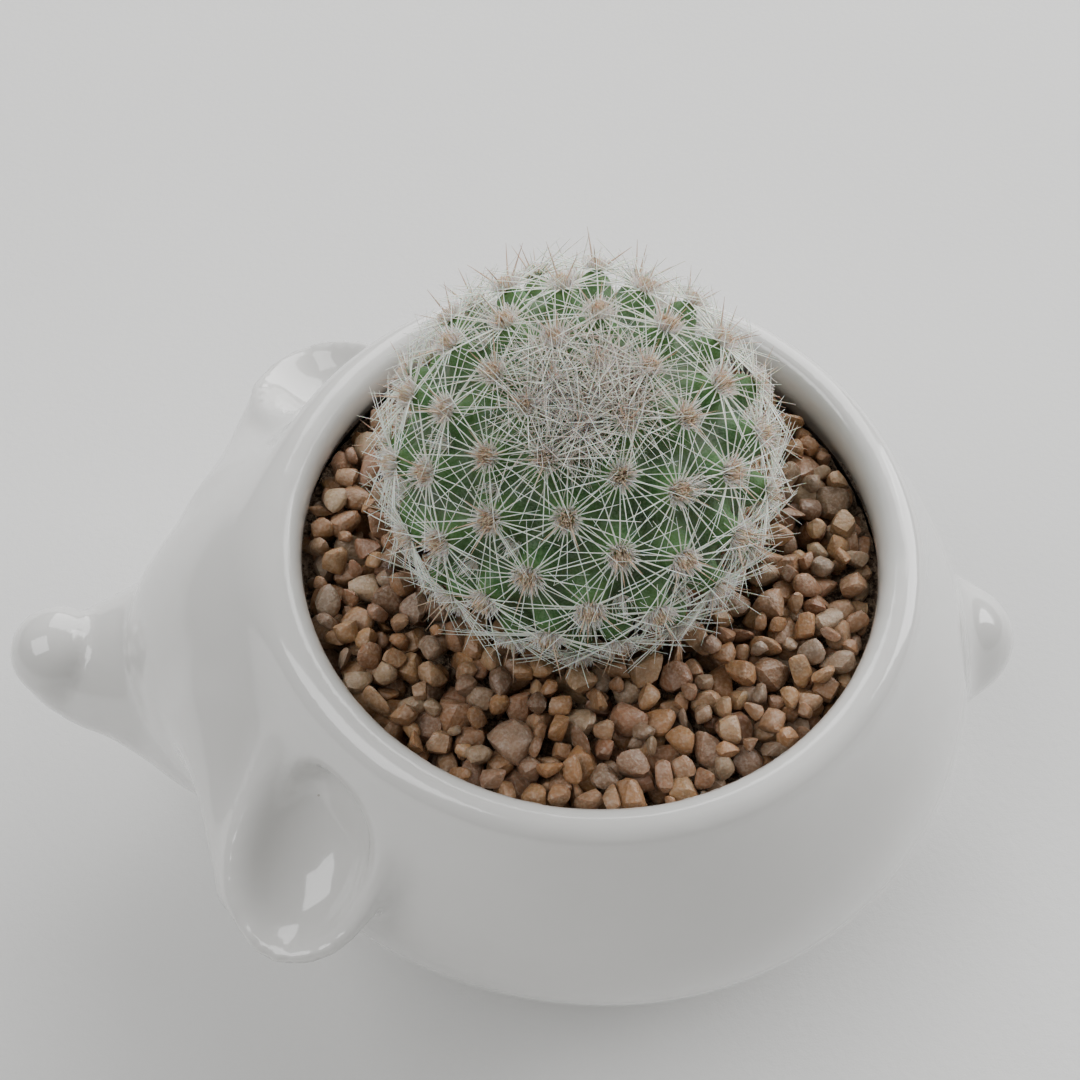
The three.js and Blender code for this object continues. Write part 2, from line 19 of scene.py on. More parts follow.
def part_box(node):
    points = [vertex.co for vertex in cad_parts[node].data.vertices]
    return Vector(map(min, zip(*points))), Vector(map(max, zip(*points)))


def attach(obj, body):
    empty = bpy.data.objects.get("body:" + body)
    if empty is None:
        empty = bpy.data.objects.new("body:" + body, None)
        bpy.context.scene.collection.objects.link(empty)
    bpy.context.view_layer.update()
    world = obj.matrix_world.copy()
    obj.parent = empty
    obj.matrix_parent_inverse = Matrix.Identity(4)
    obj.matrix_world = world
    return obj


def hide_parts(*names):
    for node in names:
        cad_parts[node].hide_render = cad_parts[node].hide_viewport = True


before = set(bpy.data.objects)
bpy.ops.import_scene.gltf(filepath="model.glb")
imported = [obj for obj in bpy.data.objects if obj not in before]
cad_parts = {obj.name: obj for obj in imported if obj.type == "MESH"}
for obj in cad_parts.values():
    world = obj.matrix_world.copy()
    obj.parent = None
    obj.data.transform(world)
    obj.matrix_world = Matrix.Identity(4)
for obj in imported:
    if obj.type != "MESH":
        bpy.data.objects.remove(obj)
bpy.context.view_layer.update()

MM = 0.001
SOIL_BOX = [np.array(corner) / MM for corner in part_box("potting_soil")]
POT_BOX = [np.array(corner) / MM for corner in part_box("elephant_pot")]

# The round opening is centred over the soil, which is round too.
OPENING = (SOIL_BOX[0] + SOIL_BOX[1]) / 2 * (1, 1, 0)
RIM_HEIGHT = POT_BOX[1][2]
print("opening centre", OPENING[:2].round(2), "rim at", round(RIM_HEIGHT, 2), "mm")

# %% [markdown]
# ## The camera
#
# A photograph of a round opening is a good ruler. The rim is a circle of known height, so its
# ellipse in the picture gives the camera's tilt, distance and roll. The camera looks down by about
# 59 degrees, from a hand's length away, with a lens of about 50 mm on full frame. Its place and its
# turns are a chain of matrices, read from the rim outwards.

# %% The camera
FIELD_OF_VIEW = math.radians(40)
CAMERA_TILT = math.radians(58.98)
CAMERA_ROLL = math.radians(3.28)
CAMERA_YAW = math.radians(-5.6)
CAMERA_FROM_RIM = (-5.8, -87.1, 141.0)
data = bpy.data.cameras.new("photo_camera")
data.angle = FIELD_OF_VIEW
data.clip_start = 0.01
camera = bpy.data.objects.new("photo_camera", data)
bpy.context.scene.collection.objects.link(camera)
rim_centre = Matrix.Translation(Vector(OPENING + (0, 0, RIM_HEIGHT)) * MM)
yaw = Matrix.Rotation(CAMERA_YAW, 4, "Z")
away = Matrix.Translation(Vector(CAMERA_FROM_RIM) * MM)
tilt = Matrix.Rotation(math.pi / 2 - CAMERA_TILT, 4, "X")
roll = Matrix.Rotation(CAMERA_ROLL, 4, "Z")
camera.matrix_world = rim_centre @ yaw @ away @ tilt @ roll
bpy.context.scene.camera = camera
print("camera at", [round(v / MM) for v in camera.location], "mm")

# %% [markdown]
# ## Soft forms as distances
#
# A potter pinches a trunk, ears and a tail out of clay and smooths the joins with a wet thumb. The
# same can be written as a distance: a function that is negative inside the clay and positive
# outside. Two forms join with a fillet by a soft minimum. Subdivision surfaces could do it too, but
# they need a hand-made cage for each join, while a distance needs one line for each form.

# %% Distances to simple forms
TINY = 1e-9  # keeps a division by zero away


def clamp(value, low, high):
    return np.minimum(np.maximum(value, low), high)


def blend(a, b, fillet):
    """The nearer of two distances, with a fillet where they are alike."""
    overlap = np.maximum(fillet - np.abs(a - b), 0) / fillet
    return np.minimum(a, b) - overlap**2 * fillet / 4


def carve(a, b, rounding):
    """What is left of a inside b, with rounded edges."""
    return -blend(-a, -b, rounding)


def length(vectors):
    return np.sqrt((vectors**2).sum(axis=-1))


def ellipsoid(points, centre, radii):
    scaled = (points - centre) / radii
    size = length(scaled)
    return size * (size - 1) / (length(scaled / radii) + TINY)


def cone(points, start, end, start_radius, end_radius):
    """A round rod from start to end, with round ends."""
    along = np.subtract(end, start)
    offset = points - start
    share = clamp(offset @ along / (along @ along), 0, 1)
    gap = offset - share[..., None] * along
    return length(gap) - (start_radius + (end_radius - start_radius) * share)


# %% [markdown]
# ## The planter's forms
#
# Seen from above the planter is a barrel a little longer than wide, with a collar round its
# opening. The forehead leans against the collar, the trunk runs down the face and curls up at its
# tip, each ear is a cupped plate behind a thick ridge, and the tail is a nub. Four short feet carry
# it. All sizes are in millimetres round the centre of the opening, at the height of the table.

# %% The planter's driving sizes
OPENING_RADIUS = 32.6
LIP_OUTSIDE = 36.4
LIP_ROUNDING = 2.4
COLLAR = {"below_rim": 8, "half_height": 9, "edge": 2, "fillet": 6}
BODY = {"centre_x": 3, "back": 46.7, "front": 50, "side": 44.7, "widest_z": 29.5, "shoulder": 42.8}
BELLY_CLEARANCE = 3.5
BELLY_POWER = 2.3
FOREHEAD = {"centre": (-38, 0, 37.5), "radii": (10, 20.5, 17.5), "fillet": 8}
TRUNK_PATH = [(-42, 0, 33.5), (-46, 0, 26), (-55.5, 0, 28.2), (-62.6, 0, 27.8), (-65.4, 0, 33)]
TRUNK_RADII = [14, 14.2, 10, 6.8, 5.8]
TRUNK_STEPS = 20
TRUNK_FILLET = 12
EAR_CENTRE = (-32, 25, 44)
EAR_SLOPE = math.radians(31)
EAR_SWEEP = math.radians(20)
EAR_BOWL = {"centre": (4.6, 1, 6), "radii": (12.8, 9.8, 8.5), "fillet": 4}
EAR_RIM = {"height": 5.3, "lean": 0.3, "edge": 2}
EAR_HOLLOW = {"centre": (5, 1.3, 6), "radii": (9.9, 6.8, 5.5), "edge": 2.6}
EAR_RIDGE = {"root": (-39.5, 14, 42), "tip": (-40, 33, 38.5), "radii": (7.8, 3), "fillet": 2}
THINNEST_WALL = {"width": 2.6, "rounding": 1.5}  # between an ear's hollow and the inside
TAIL = {"centre": (50.5, 0, 28.5), "radii": (6.5, 6.8, 8), "fillet": 6}
FOOT = {"top": (20, 17, 16), "sole": (21, 18, -4), "radii": (11.5, 10.5), "fillet": 4, "edge": 1.2}
INSIDE_EDGE = 2

# The inner wall from the floor to the neck of the opening, as radius and height.
INSIDE = [
    (21, 8), (26, 9.3), (30.5, 12), (34.5, 16.5), (38, 23),
    (39.3, 30), (38.6, 38), (36.6, 46), (33.9, 52), (OPENING_RADIUS, 56),
]

# %% The body, the feet, the collar and the inside


def body_distance(points):
    x, y, z = np.moveaxis(points, -1, 0)
    rise = clamp((RIM_HEIGHT - z) / (RIM_HEIGHT - BODY["widest_z"]), 0, 1)
    offset = x - BODY["centre_x"] * rise
    radius_x = np.where(offset > 0, BODY["back"], BODY["front"])
    above = z > BODY["widest_z"]
    radius_z = np.where(above, BODY["shoulder"], BODY["widest_z"] - BELLY_CLEARANCE)
    power = np.where(above, 2, BELLY_POWER)
    radii = np.stack([radius_x, np.full_like(z, BODY["side"]), radius_z], axis=-1)
    p = np.stack([offset, y, z - BODY["widest_z"]], axis=-1) / radii
    flat = np.hypot(p[..., 0], p[..., 1])
    size = (flat**power + np.abs(p[..., 2]) ** power) ** (1 / power)
    return (size - 1) * (length(p) + TINY) / (length(p / radii) + TINY)


def both_sides(points):
    """The same points, with those of the other side mirrored to this one."""
    return points * (1, 0, 1) + np.abs(points) * (0, 1, 0)


def feet_distance(points):
    mirrored = np.abs(points) * (1, 1, 0) + points * (0, 0, 1)
    return cone(mirrored, FOOT["top"], FOOT["sole"], *FOOT["radii"])


def collar_distance(points):
    radial = np.hypot(points[..., 0], points[..., 1]) - LIP_OUTSIDE
    height = np.abs(points[..., 2] - RIM_HEIGHT + COLLAR["below_rim"]) - COLLAR["half_height"]
    return carve(radial, height, COLLAR["edge"])


def wall_radius(height):
    """The radius of the inner wall at that height."""
    radii, heights = zip(*INSIDE)
    return np.interp(height, heights, radii)


def cavity_distance(points):
    radial = np.hypot(points[..., 0], points[..., 1]) - wall_radius(points[..., 2])
    return carve(radial, INSIDE[0][1] - points[..., 2], INSIDE_EDGE)


# %% The trunk


def smooth_path(corners, steps):
    """Points of a smooth curve that passes through the corners."""
    corners = np.array(corners, float)
    ends = [2 * corners[0] - corners[1], *corners, 2 * corners[-1] - corners[-2]]
    spans = len(corners) - 1
    points = []
    for step in range(steps + 1):
        place = step / steps * spans
        span = min(int(place), spans - 1)
        t = place - span
        a, b, c, d = ends[span : span + 4]
        bend = 2 * a - 5 * b + 4 * c - d + t * (3 * b - a - 3 * c + d)
        points.append(b + 0.5 * t * (c - a + t * bend))
    return points


def trunk_distance(points):
    centres = smooth_path(TRUNK_PATH, TRUNK_STEPS)
    stations = np.linspace(0, len(TRUNK_RADII) - 1, TRUNK_STEPS + 1)
    radii = np.interp(stations, range(len(TRUNK_RADII)), TRUNK_RADII)
    nearest = np.full(points.shape[:-1], np.inf)
    for a, b, radius_a, radius_b in zip(centres, centres[1:], radii, radii[1:]):
        nearest = np.minimum(nearest, cone(points, a, b, radius_a, radius_b))
    return nearest


# %% The ears


def in_ear(points):
    """Places along, across and above the ear, whose long axis slopes down and sweeps forward."""
    sine, cosine = math.sin(EAR_SLOPE), math.cos(EAR_SLOPE)
    dx, dy, dz = np.moveaxis(both_sides(points) - EAR_CENTRE, -1, 0)
    down = dy * cosine - dz * sine
    out = down * math.cos(EAR_SWEEP) - dx * math.sin(EAR_SWEEP)
    back = down * math.sin(EAR_SWEEP) + dx * math.cos(EAR_SWEEP)
    return np.stack([out, back, dy * sine + dz * cosine], axis=-1)


def ear_distance(points):
    """A shallow bowl behind a thick rounded ridge."""
    places = in_ear(points)
    bowl = ellipsoid(places, EAR_BOWL["centre"], EAR_BOWL["radii"])
    above_rim = places[..., 2] - EAR_RIM["height"] - EAR_RIM["lean"] * places[..., 1]
    ridge = cone(both_sides(points), EAR_RIDGE["root"], EAR_RIDGE["tip"], *EAR_RIDGE["radii"])
    return blend(carve(bowl, above_rim, EAR_RIM["edge"]), ridge, EAR_RIDGE["fillet"])


def hollow_distance(points):
    """The hollow of an ear, which stops where the wall would get too thin."""
    hollow = ellipsoid(in_ear(points), EAR_HOLLOW["centre"], EAR_HOLLOW["radii"])
    too_thin = THINNEST_WALL["width"] - cavity_distance(points)
    return carve(hollow, too_thin, THINNEST_WALL["rounding"])


# %% The whole elephant


def planter_distance(points):
    forehead = ellipsoid(points, FOREHEAD["centre"], FOREHEAD["radii"])
    tail = ellipsoid(points, TAIL["centre"], TAIL["radii"])
    distance = blend(body_distance(points), collar_distance(points), COLLAR["fillet"])
    distance = blend(distance, forehead, FOREHEAD["fillet"])
    distance = blend(distance, trunk_distance(points), TRUNK_FILLET)
    distance = blend(distance, ear_distance(points), EAR_BOWL["fillet"])
    distance = carve(distance, -hollow_distance(points), EAR_HOLLOW["edge"])
    distance = blend(distance, tail, TAIL["fillet"])
    distance = blend(distance, feet_distance(points), FOOT["fillet"])
    distance = carve(distance, points[..., 2] - RIM_HEIGHT, LIP_ROUNDING)
    distance = carve(distance, -points[..., 2], FOOT["edge"])
    return carve(distance, -cavity_distance(points), LIP_ROUNDING)


# %% [markdown]
# ## From a distance to a mesh
#
# A grid of small cells is laid through space. Where the clay's surface cuts a cell, the cell gets
# one corner of the mesh, and each cut grid edge gets one four-sided face. Then every corner slides
# down the slope of the distance until it lies on the surface, and moves twice half-way to the mean
# of the faces round it, so the glaze reflects without steps. Marching cubes would do it too, but
# leave thin slivers that show in a glossy surface.

# %% Corners that settle and relax


def settle(points, distance, rounds=3, step=0.05, flattest=1e-6):
    """Moves the points down the slope of the distance until they lie on the form."""
    for _ in range(rounds):
        value = distance(points)
        ahead = [distance(points + step * axis) for axis in np.eye(3)]
        behind = [distance(points - step * axis) for axis in np.eye(3)]
        slope = (np.stack(ahead, -1) - np.stack(behind, -1)) / (2 * step)
        steepness = (slope**2).sum(axis=-1) + flattest
        points = points - clamp(value[..., None] * slope / steepness[..., None], -1, 1)
    return points


def relax(points, faces, rounds=2):
    """Moves each corner half-way to the mean of the faces round it, which evens out creases."""
    corners = faces.ravel()
    share = np.bincount(corners, minlength=len(points))
    for _ in range(rounds):
        middles = np.repeat(points[faces].mean(axis=1), 4, axis=0)
        means = [np.bincount(corners, part, len(points)) / share for part in middles.T]
        points = (points + np.stack(means, axis=-1)) / 2
    return points


# %% Cells that become a skin
CELL_CORNERS = np.array([(n & 1, n >> 1 & 1, n >> 2 & 1) for n in range(8)])
CELL_EDGES = [(n, n | bit) for n in range(8) for bit in (1, 2, 4) if not n & bit]


def corner_views(values):
    """The eight corner values of each cell, as views of the grid."""
    nx, ny, nz = (size - 1 for size in values.shape)
    return [values[i : i + nx, j : j + ny, k : k + nz] for i, j, k in CELL_CORNERS]


def cell_points(local):
    """The mean of the places where the surface cuts the edges of each cell."""
    total = np.zeros((len(local), 3))
    cuts = np.zeros(len(local))
    for p, q in CELL_EDGES:
        cut = (local[:, p] < 0) != (local[:, q] < 0)
        gap = np.where(cut, local[:, p] - local[:, q], 1)
        share = np.where(cut, local[:, p] / gap, 0)[:, None]
        edge = CELL_CORNERS[q] - CELL_CORNERS[p]
        total += cut[:, None] * (CELL_CORNERS[p] + edge * share)
        cuts += cut
    return total / cuts[:, None]


def skin_faces(inside, number):
    """A face across each grid edge that joins the inside to the outside."""
    faces = []
    for axis in range(3):
        side = [(axis + 1) % 3, (axis + 2) % 3]
        here = np.moveaxis(inside, (axis, *side), (0, 1, 2))
        cell = np.moveaxis(number, (axis, *side), (0, 1, 2))
        crossing = here[:-1, 1:-1, 1:-1] != here[1:, 1:-1, 1:-1]
        i, j, k = np.nonzero(crossing)
        ring = [cell[i, j, k], cell[i, j + 1, k], cell[i, j + 1, k + 1], cell[i, j, k + 1]]
        quads = np.stack(ring, axis=-1)
        flip = ~here[i, j + 1, k + 1]
        quads[flip] = quads[flip][:, ::-1]
        faces.append(quads)
    return np.concatenate(faces)


def skin(distance, low, high, cell):
    """Corners and four-sided faces of the surface where the distance is zero."""
    axes = [np.arange(a, b + cell, cell) for a, b in zip(low, high)]
    values = distance(np.stack(np.meshgrid(*axes, indexing="ij"), axis=-1))
    corners = corner_views(values)
    inside_count = sum((corner < 0).astype(int) for corner in corners)
    cells = np.argwhere((inside_count > 0) & (inside_count < 8))
    local = np.stack([corner[tuple(cells.T)] for corner in corners], axis=-1)
    points = np.array(low) + (cells + cell_points(local)) * cell
    number = np.full(inside_count.shape, -1)
    number[tuple(cells.T)] = np.arange(len(cells))
    faces = skin_faces(values < 0, number)
    return relax(settle(points, distance), faces), faces


# %% Meshes from arrays


def new_object(name, mesh):
    piece = bpy.data.objects.new(name, mesh)
    bpy.context.scene.collection.objects.link(piece)
    print(name + ":", len(mesh.vertices), "points,", len(mesh.polygons), "faces")
    return piece


def mesh_piece(name, points, faces):
    """An object of the named mesh, whose points are in millimetres round the opening."""
    mesh = bpy.data.meshes.new(name)
    mesh.from_pydata(((np.array(points) + OPENING) * MM).tolist(), [], np.array(faces).tolist())
    mesh.shade_smooth()
    return new_object(name, mesh)


def add_attribute(mesh, name, values):
    """Keeps a number or a vector on each point of the mesh."""
    values = np.asarray(values, float)
    kind, field = ("FLOAT_VECTOR", "vector") if values.ndim == 2 else ("FLOAT", "value")
    mesh.attributes.new(name, kind, "POINT").data.foreach_set(field, values.ravel())


# %% The planter's mesh
CLAY_CELL = 0.95
CLAY_SPACE = (-75, -49, -3), (61, 49, 63)
planter = mesh_piece("planter", *skin(planter_distance, *CLAY_SPACE, CLAY_CELL))

# %% [markdown]
# ## Surface effects that several materials share
#
# Real surfaces are never one colour. Two small node groups carry what all of them need: "Mottle"
# mixes two colours in soft patches, and "Relief" gives a height for a bump from a coarse and a fine
# noise. Both read Object coordinates, which are metres here, so a scale of 100 means 10 mm patches.

# %% Helpers for node trees
SOCKET_KINDS = {int: "NodeSocketInt", float: "NodeSocketFloat"}


def feed(tree, socket, value):
    """Links a node's output to the socket, or sets the socket to a plain value."""
    if isinstance(value, bpy.types.Node):
        value = value.outputs[0]
    if isinstance(value, bpy.types.NodeSocket):
        tree.links.new(value, socket)
    elif socket.type == "RGBA":
        socket.default_value = (*value, 1)
    else:
        socket.default_value = value


def live(sockets, name=None):
    """The first socket, or the one of that name, that the node's settings leave switched on."""
    return next(s for s in sockets if s.enabled and name in (None, s.name))


def add(tree, kind, inputs=None, **settings):
    """A node with its settings. Its inputs are plain values, nodes, their outputs or None."""
    node = tree.nodes.new(kind)
    for name, value in settings.items():
        setattr(node, name, value)
    for key, value in (inputs or {}).items():
        if value is not None:
            socket = live(node.inputs, key) if isinstance(key, str) else node.inputs[key]
            feed(tree, socket, value)
    return node


def new_group(name, tree_kind, inputs, outputs):
    """A node group. Each input is given by its value, or by its socket's kind if it has none."""
    tree = bpy.data.node_groups.new(name, tree_kind)
    for label, value in inputs.items():
        kind = SOCKET_KINDS.get(type(value), value)
        socket = tree.interface.new_socket(label, in_out="INPUT", socket_type=kind)
        if kind != value:
            socket.default_value = value
    for label, kind in outputs.items():
        tree.interface.new_socket(label, in_out="OUTPUT", socket_type=kind)
    print("node group:", name, "with", len(inputs), "inputs")
    return tree, tree.nodes.new("NodeGroupInput").outputs, tree.nodes.new("NodeGroupOutput").inputs


def maths(tree, operation, *values):
    return add(tree, "ShaderNodeMath", dict(enumerate(values)), operation=operation).outputs[0]


def mix_colour(tree, share, a, b):
    values = {"Factor": share, "A": a, "B": b}
    return live(add(tree, "ShaderNodeMix", values, data_type="RGBA").outputs)


# %% The mottle group
colours = {"First": "NodeSocketColor", "Second": "NodeSocketColor"}
inputs = {"Scale": 100.0, "Sharpness": 0.15, **colours}
outputs = {"Color": "NodeSocketColor", "Mask": "NodeSocketFloat"}
MOTTLE, given, result = new_group("Mottle", "ShaderNodeTree", inputs, outputs)
place = add(MOTTLE, "ShaderNodeTexCoord").outputs["Object"]
noise = add(MOTTLE, "ShaderNodeTexNoise", {"Vector": place, "Scale": given["Scale"], "Detail": 4})
low = maths(MOTTLE, "SUBTRACT", 0.5, given["Sharpness"])
high = maths(MOTTLE, "ADD", 0.5, given["Sharpness"])
steps = {"Value": noise.outputs[0], "From Min": low, "From Max": high}
mask = add(MOTTLE, "ShaderNodeMapRange", steps).outputs[0]
MOTTLE.links.new(mix_colour(MOTTLE, mask, given["First"], given["Second"]), result["Color"])
MOTTLE.links.new(mask, result["Mask"])

# %% The relief group
inputs = {"Coarse scale": 100.0, "Fine scale": 1000.0, "Fine share": 0.3}
RELIEF, given, result = new_group("Relief", "ShaderNodeTree", inputs, {"Height": "NodeSocketFloat"})
place = add(RELIEF, "ShaderNodeTexCoord").outputs["Object"]
coarse = add(RELIEF, "ShaderNodeTexNoise", {"Vector": place, "Scale": given["Coarse scale"]})
fine = add(RELIEF, "ShaderNodeTexNoise", {"Vector": place, "Scale": given["Fine scale"]})
part = maths(RELIEF, "MULTIPLY", fine.outputs[0], given["Fine share"])
RELIEF.links.new(maths(RELIEF, "ADD", coarse.outputs[0], part), result["Height"])

# %% A material with the shared groups in it


def new_material(name, constants):
    """A material, its node tree and its shader's inputs, with constants on the shader's sockets."""
    material = bpy.data.materials.new(name)
    material.use_nodes = True
    shader = material.node_tree.nodes["Principled BSDF"]
    for label, value in constants.items():
        shader.inputs[label].default_value = value
    print("material:", name)
    return material, material.node_tree, shader.inputs


def mottle(tree, scale, sharpness, first, second):
    """The outputs of the shared mottle. A lower sharpness value gives harder patches."""
    values = {"Scale": scale, "Sharpness": sharpness, "First": first, "Second": second}
    return add(tree, "ShaderNodeGroup", values, node_tree=MOTTLE).outputs


def relief(tree, shader, coarse, fine, fine_share, depth, strength=1.0):
    """Feeds the shader's normal from the shared relief. The depth is in millimetres."""
    scales = {"Coarse scale": coarse, "Fine scale": fine, "Fine share": fine_share}
    height = add(tree, "ShaderNodeGroup", scales, node_tree=RELIEF)
    values = {"Height": height, "Distance": depth * MM, "Strength": strength}
    tree.links.new(add(tree, "ShaderNodeBump", values).outputs[0], shader["Normal"])


def spread(tree, share, low, high):
    """A value that runs from low to high with the share."""
    values = {"Value": share, "To Min": low, "To Max": high}
    return add(tree, "ShaderNodeMapRange", values).outputs[0]


def paint(tree, shader, colour, mask, first, second):
    """Feeds the shader's colour, and a roughness that goes from first to second with the mask."""
    tree.links.new(colour, shader["Base Color"])
    tree.links.new(spread(tree, mask, first, second), shader["Roughness"])


def attribute(tree, name):
    return add(tree, "ShaderNodeAttribute", attribute_name=name).outputs["Fac"]


def ramp(tree, share, stops):
    """Colours along a share, as (place, colour) stops."""
    node = add(tree, "ShaderNodeValToRGB", {"Fac": share})
    elements = node.color_ramp.elements
    for spare in list(elements)[1:]:
        elements.remove(spare)
    elements[0].position, elements[0].color = stops[0][0], (*stops[0][1], 1)
    for place, colour in stops[1:]:
        elements.new(place).color = (*colour, 1)
    return node.outputs[0]


# %% [markdown]
# ## The glaze
#
# Slip-cast planters are dipped in a clear glaze over a white body. The surface is a smooth glass
# that pulls itself flat but keeps a slow swell, with a faint speck here and there. A low
# roughness and an almost full coat give the glass, and a very shallow relief bends its highlights.

# %% The glaze's material
SPECK_CELLS_PER_METRE = 1 / 0.006
SPECK_RARITY = 0.9
SPECK_SIZE = 0.025
SPECK_COLOUR = (0.48, 0.45, 0.4)
constants = {"Coat Roughness": 0.04, "Coat IOR": 1.5, "IOR": 1.5}
material, tree, shader = new_material("white_glaze", constants)
body = mottle(tree, 38, 0.22, (0.67, 0.665, 0.645), (0.73, 0.725, 0.705))
place = add(tree, "ShaderNodeTexCoord").outputs["Object"]
cells = add(tree, "ShaderNodeTexVoronoi", {"Vector": place, "Scale": SPECK_CELLS_PER_METRE})
pick = add(tree, "ShaderNodeSeparateColor", {"Color": cells.outputs["Color"]})
rare = maths(tree, "GREATER_THAN", pick.outputs[0], SPECK_RARITY)
small = maths(tree, "LESS_THAN", cells.outputs["Distance"], SPECK_SIZE)
speck = maths(tree, "MULTIPLY", rare, small)
colour = mix_colour(tree, speck, body["Color"], SPECK_COLOUR)
paint(tree, shader, colour, body["Mask"], 0.1, 0.2)
tree.links.new(spread(tree, body["Mask"], 1, 0.85), shader["Coat Weight"])
relief(tree, shader, 75, 420, 0.03, depth=0.7, strength=0.4)
planter.data.materials.append(material)
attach(planter, "root")
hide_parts("elephant_pot")

# %% [markdown]
# ## The potting mix
#
# The mix under the stones is dark, rough and hardly seen from outside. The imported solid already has
# its shape, so it stays, and only its material is made: brown fibre with paler crumbs.

# %% The potting mix's material
material, tree, shader = new_material("potting_mix", {"Specular IOR Level": 0.2})
fibre = mottle(tree, 420, 0.1, (0.02, 0.012, 0.008), (0.07, 0.045, 0.028))
crumbs = mottle(tree, 900, 0.04, fibre["Color"], (0.16, 0.12, 0.08))
paint(tree, shader, crumbs["Color"], fibre["Mask"], 0.85, 1)
relief(tree, shader, 500, 1600, 0.5, depth=0.8)
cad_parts["potting_soil"].material_slots[0].material = material

# %% [markdown]
# ## Geometry Nodes trees in a script
#
# Stones, spines and wool repeat by the hundred, with small differences. A Geometry Nodes tree makes
# one of them from a rule and sets it on every point of a seed mesh. Each tree ends in Realize
# Instances and Set Material, and its result is kept as a plain mesh.

# %% Helpers for Geometry Nodes


def new_geometry_tree(name, inputs):
    """A tree that grows something on points. Its inputs are those given, and the material."""
    inputs = {"Points": "NodeSocketGeometry", **inputs, "Material": "NodeSocketMaterial"}
    outputs = {"Geometry": "NodeSocketGeometry"}
    tree, given, result = new_group(name, "GeometryNodeTree", inputs, outputs)
    return tree, given, result["Geometry"]


def vector_maths(tree, operation, a, b=None, scale=None):
    values = {0: a, 1: b, "Scale": scale}
    return live(add(tree, "ShaderNodeVectorMath", values, operation=operation).outputs)


def random_value(tree, low, high, seed, identity=None, kind="FLOAT"):
    """A random number, or a random vector if the kind says so, between low and high."""
    values = {"Min": low, "Max": high, "Seed": seed, "ID": identity}
    return live(add(tree, "FunctionNodeRandomValue", values, data_type=kind).outputs)


def named(tree, name, kind="FLOAT"):
    node = add(tree, "GeometryNodeInputNamedAttribute", {"Name": name}, data_type=kind)
    return live(node.outputs, "Attribute")


def plant(tree, given, result, instances):
    """Sets an instance on each point, makes it real, smooth and painted, and ends the tree."""
    standing = add(tree, "GeometryNodeInstanceOnPoints", instances)
    real = add(tree, "GeometryNodeRealizeInstances", {"Geometry": standing})
    smooth = add(tree, "GeometryNodeSetShadeSmooth", {"Geometry": real})
    finish = {"Geometry": smooth, "Material": given["Material"]}
    tree.links.new(add(tree, "GeometryNodeSetMaterial", finish).outputs[0], result)


# %% Seed points, and what grows on them


def grown(name, places, marks, tree, values):
    """Runs the tree on points with those marks and keeps the result as a plain mesh of its own."""
    seeds = mesh_piece(name + "_seeds", places, [])
    for label, numbers in marks.items():
        add_attribute(seeds.data, label, numbers)
    sockets = {s.name: s.identifier for s in tree.interface.items_tree if s.in_out == "INPUT"}
    modifier = seeds.modifiers.new(tree.name, "NODES")
    modifier.node_group = tree
    for label, value in values.items():
        modifier[sockets[label]] = value
    graph = bpy.context.evaluated_depsgraph_get()
    mesh = bpy.data.meshes.new_from_object(seeds.evaluated_get(graph))
    mesh.name = name
    bpy.data.objects.remove(seeds)
    return new_object(name, mesh)


# %% [markdown]
# ## Where the stones lie
#
# A top dressing is poured, and each stone rolls to a low place. Rigid-body physics would settle
# them too, but slowly. Here each stone tries a few places, drops on the stones below, and keeps the
# lowest place. That gives the same close, uneven bed every time.

# %% Stones dropped one by one
STONE_RADII = (1, 3, 1.5)  # smallest, largest and most common
STONE_COUNT = 1400
STONE_TRIES = 14
STONE_OVERLAP = 0.68  # the share of two radii at which stones lie against each other
STONE_SEED = 20417
BED_FLOOR = 48.5
HIGHEST_STONE_TOP = 57.4
STEM = {"centre": np.array([-2, 1.8, 71.2]), "radius": 17, "height": 14}
NECK_RADIUS = 13.6
NECK_SHARE = 0.4  # the share of its radius by which a stone's centre stays off the neck
WALL_GAP = 0.3


def resting_height(x, y, radius, stones):
    """The height at which a stone of that radius comes to rest at (x, y)."""
    gap = np.hypot(stones[:, 0] - x, stones[:, 1] - y)
    reach = (stones[:, 3] + radius) * STONE_OVERLAP
    under = gap < reach
    tops = stones[under, 2] + np.sqrt(reach[under] ** 2 - gap[under] ** 2)
    return max([BED_FLOOR + radius, *tops])


def dropped_stones(chance):
    """The place and the radius of each stone, as rows of four numbers."""
    stones = np.empty((0, 4))
    for _ in range(STONE_COUNT):
        radius = chance.triangular(*STONE_RADII)
        best = None
        for _ in range(STONE_TRIES):
            ring = math.sqrt(chance.random()) * (wall_radius(BED_FLOOR) - radius)
            turn = chance.random() * math.tau
            x, y = ring * math.cos(turn), ring * math.sin(turn)
            from_axis = math.hypot(x - STEM["centre"][0], y - STEM["centre"][1])
            if from_axis < NECK_RADIUS + NECK_SHARE * radius:
                continue
            height = resting_height(x, y, radius, stones)
            outside = math.hypot(x, y) > wall_radius(height) - WALL_GAP - radius
            if not outside and (best is None or height < best[2]):
                best = (x, y, height, radius)
        if best and best[2] + best[3] < HIGHEST_STONE_TOP:
            stones = np.vstack([stones, best])
    return stones


stones = dropped_stones(random.Random(STONE_SEED))
print(len(stones), "stones, highest top at", round((stones[:, 2] + stones[:, 3]).max(), 1), "mm")

# %% [markdown]
# ## The stones themselves
#
# Crushed and tumbled gravel has a few worn facets. The hull of a dozen random points has such
# facets. One subdivision wears its corners, and edges stay sharp where faces meet at a steep angle.
# Eight such stones, each turned and stretched its own way, are enough for a bed in which no two
# look alike.

# %% The pebble bed tree
STONE_KINDS = 8
CORNER_REACH = (0.85, 1.12)
REACH_SEED, SHAPE_SEED = 100, 7  # added to the tree's own seed


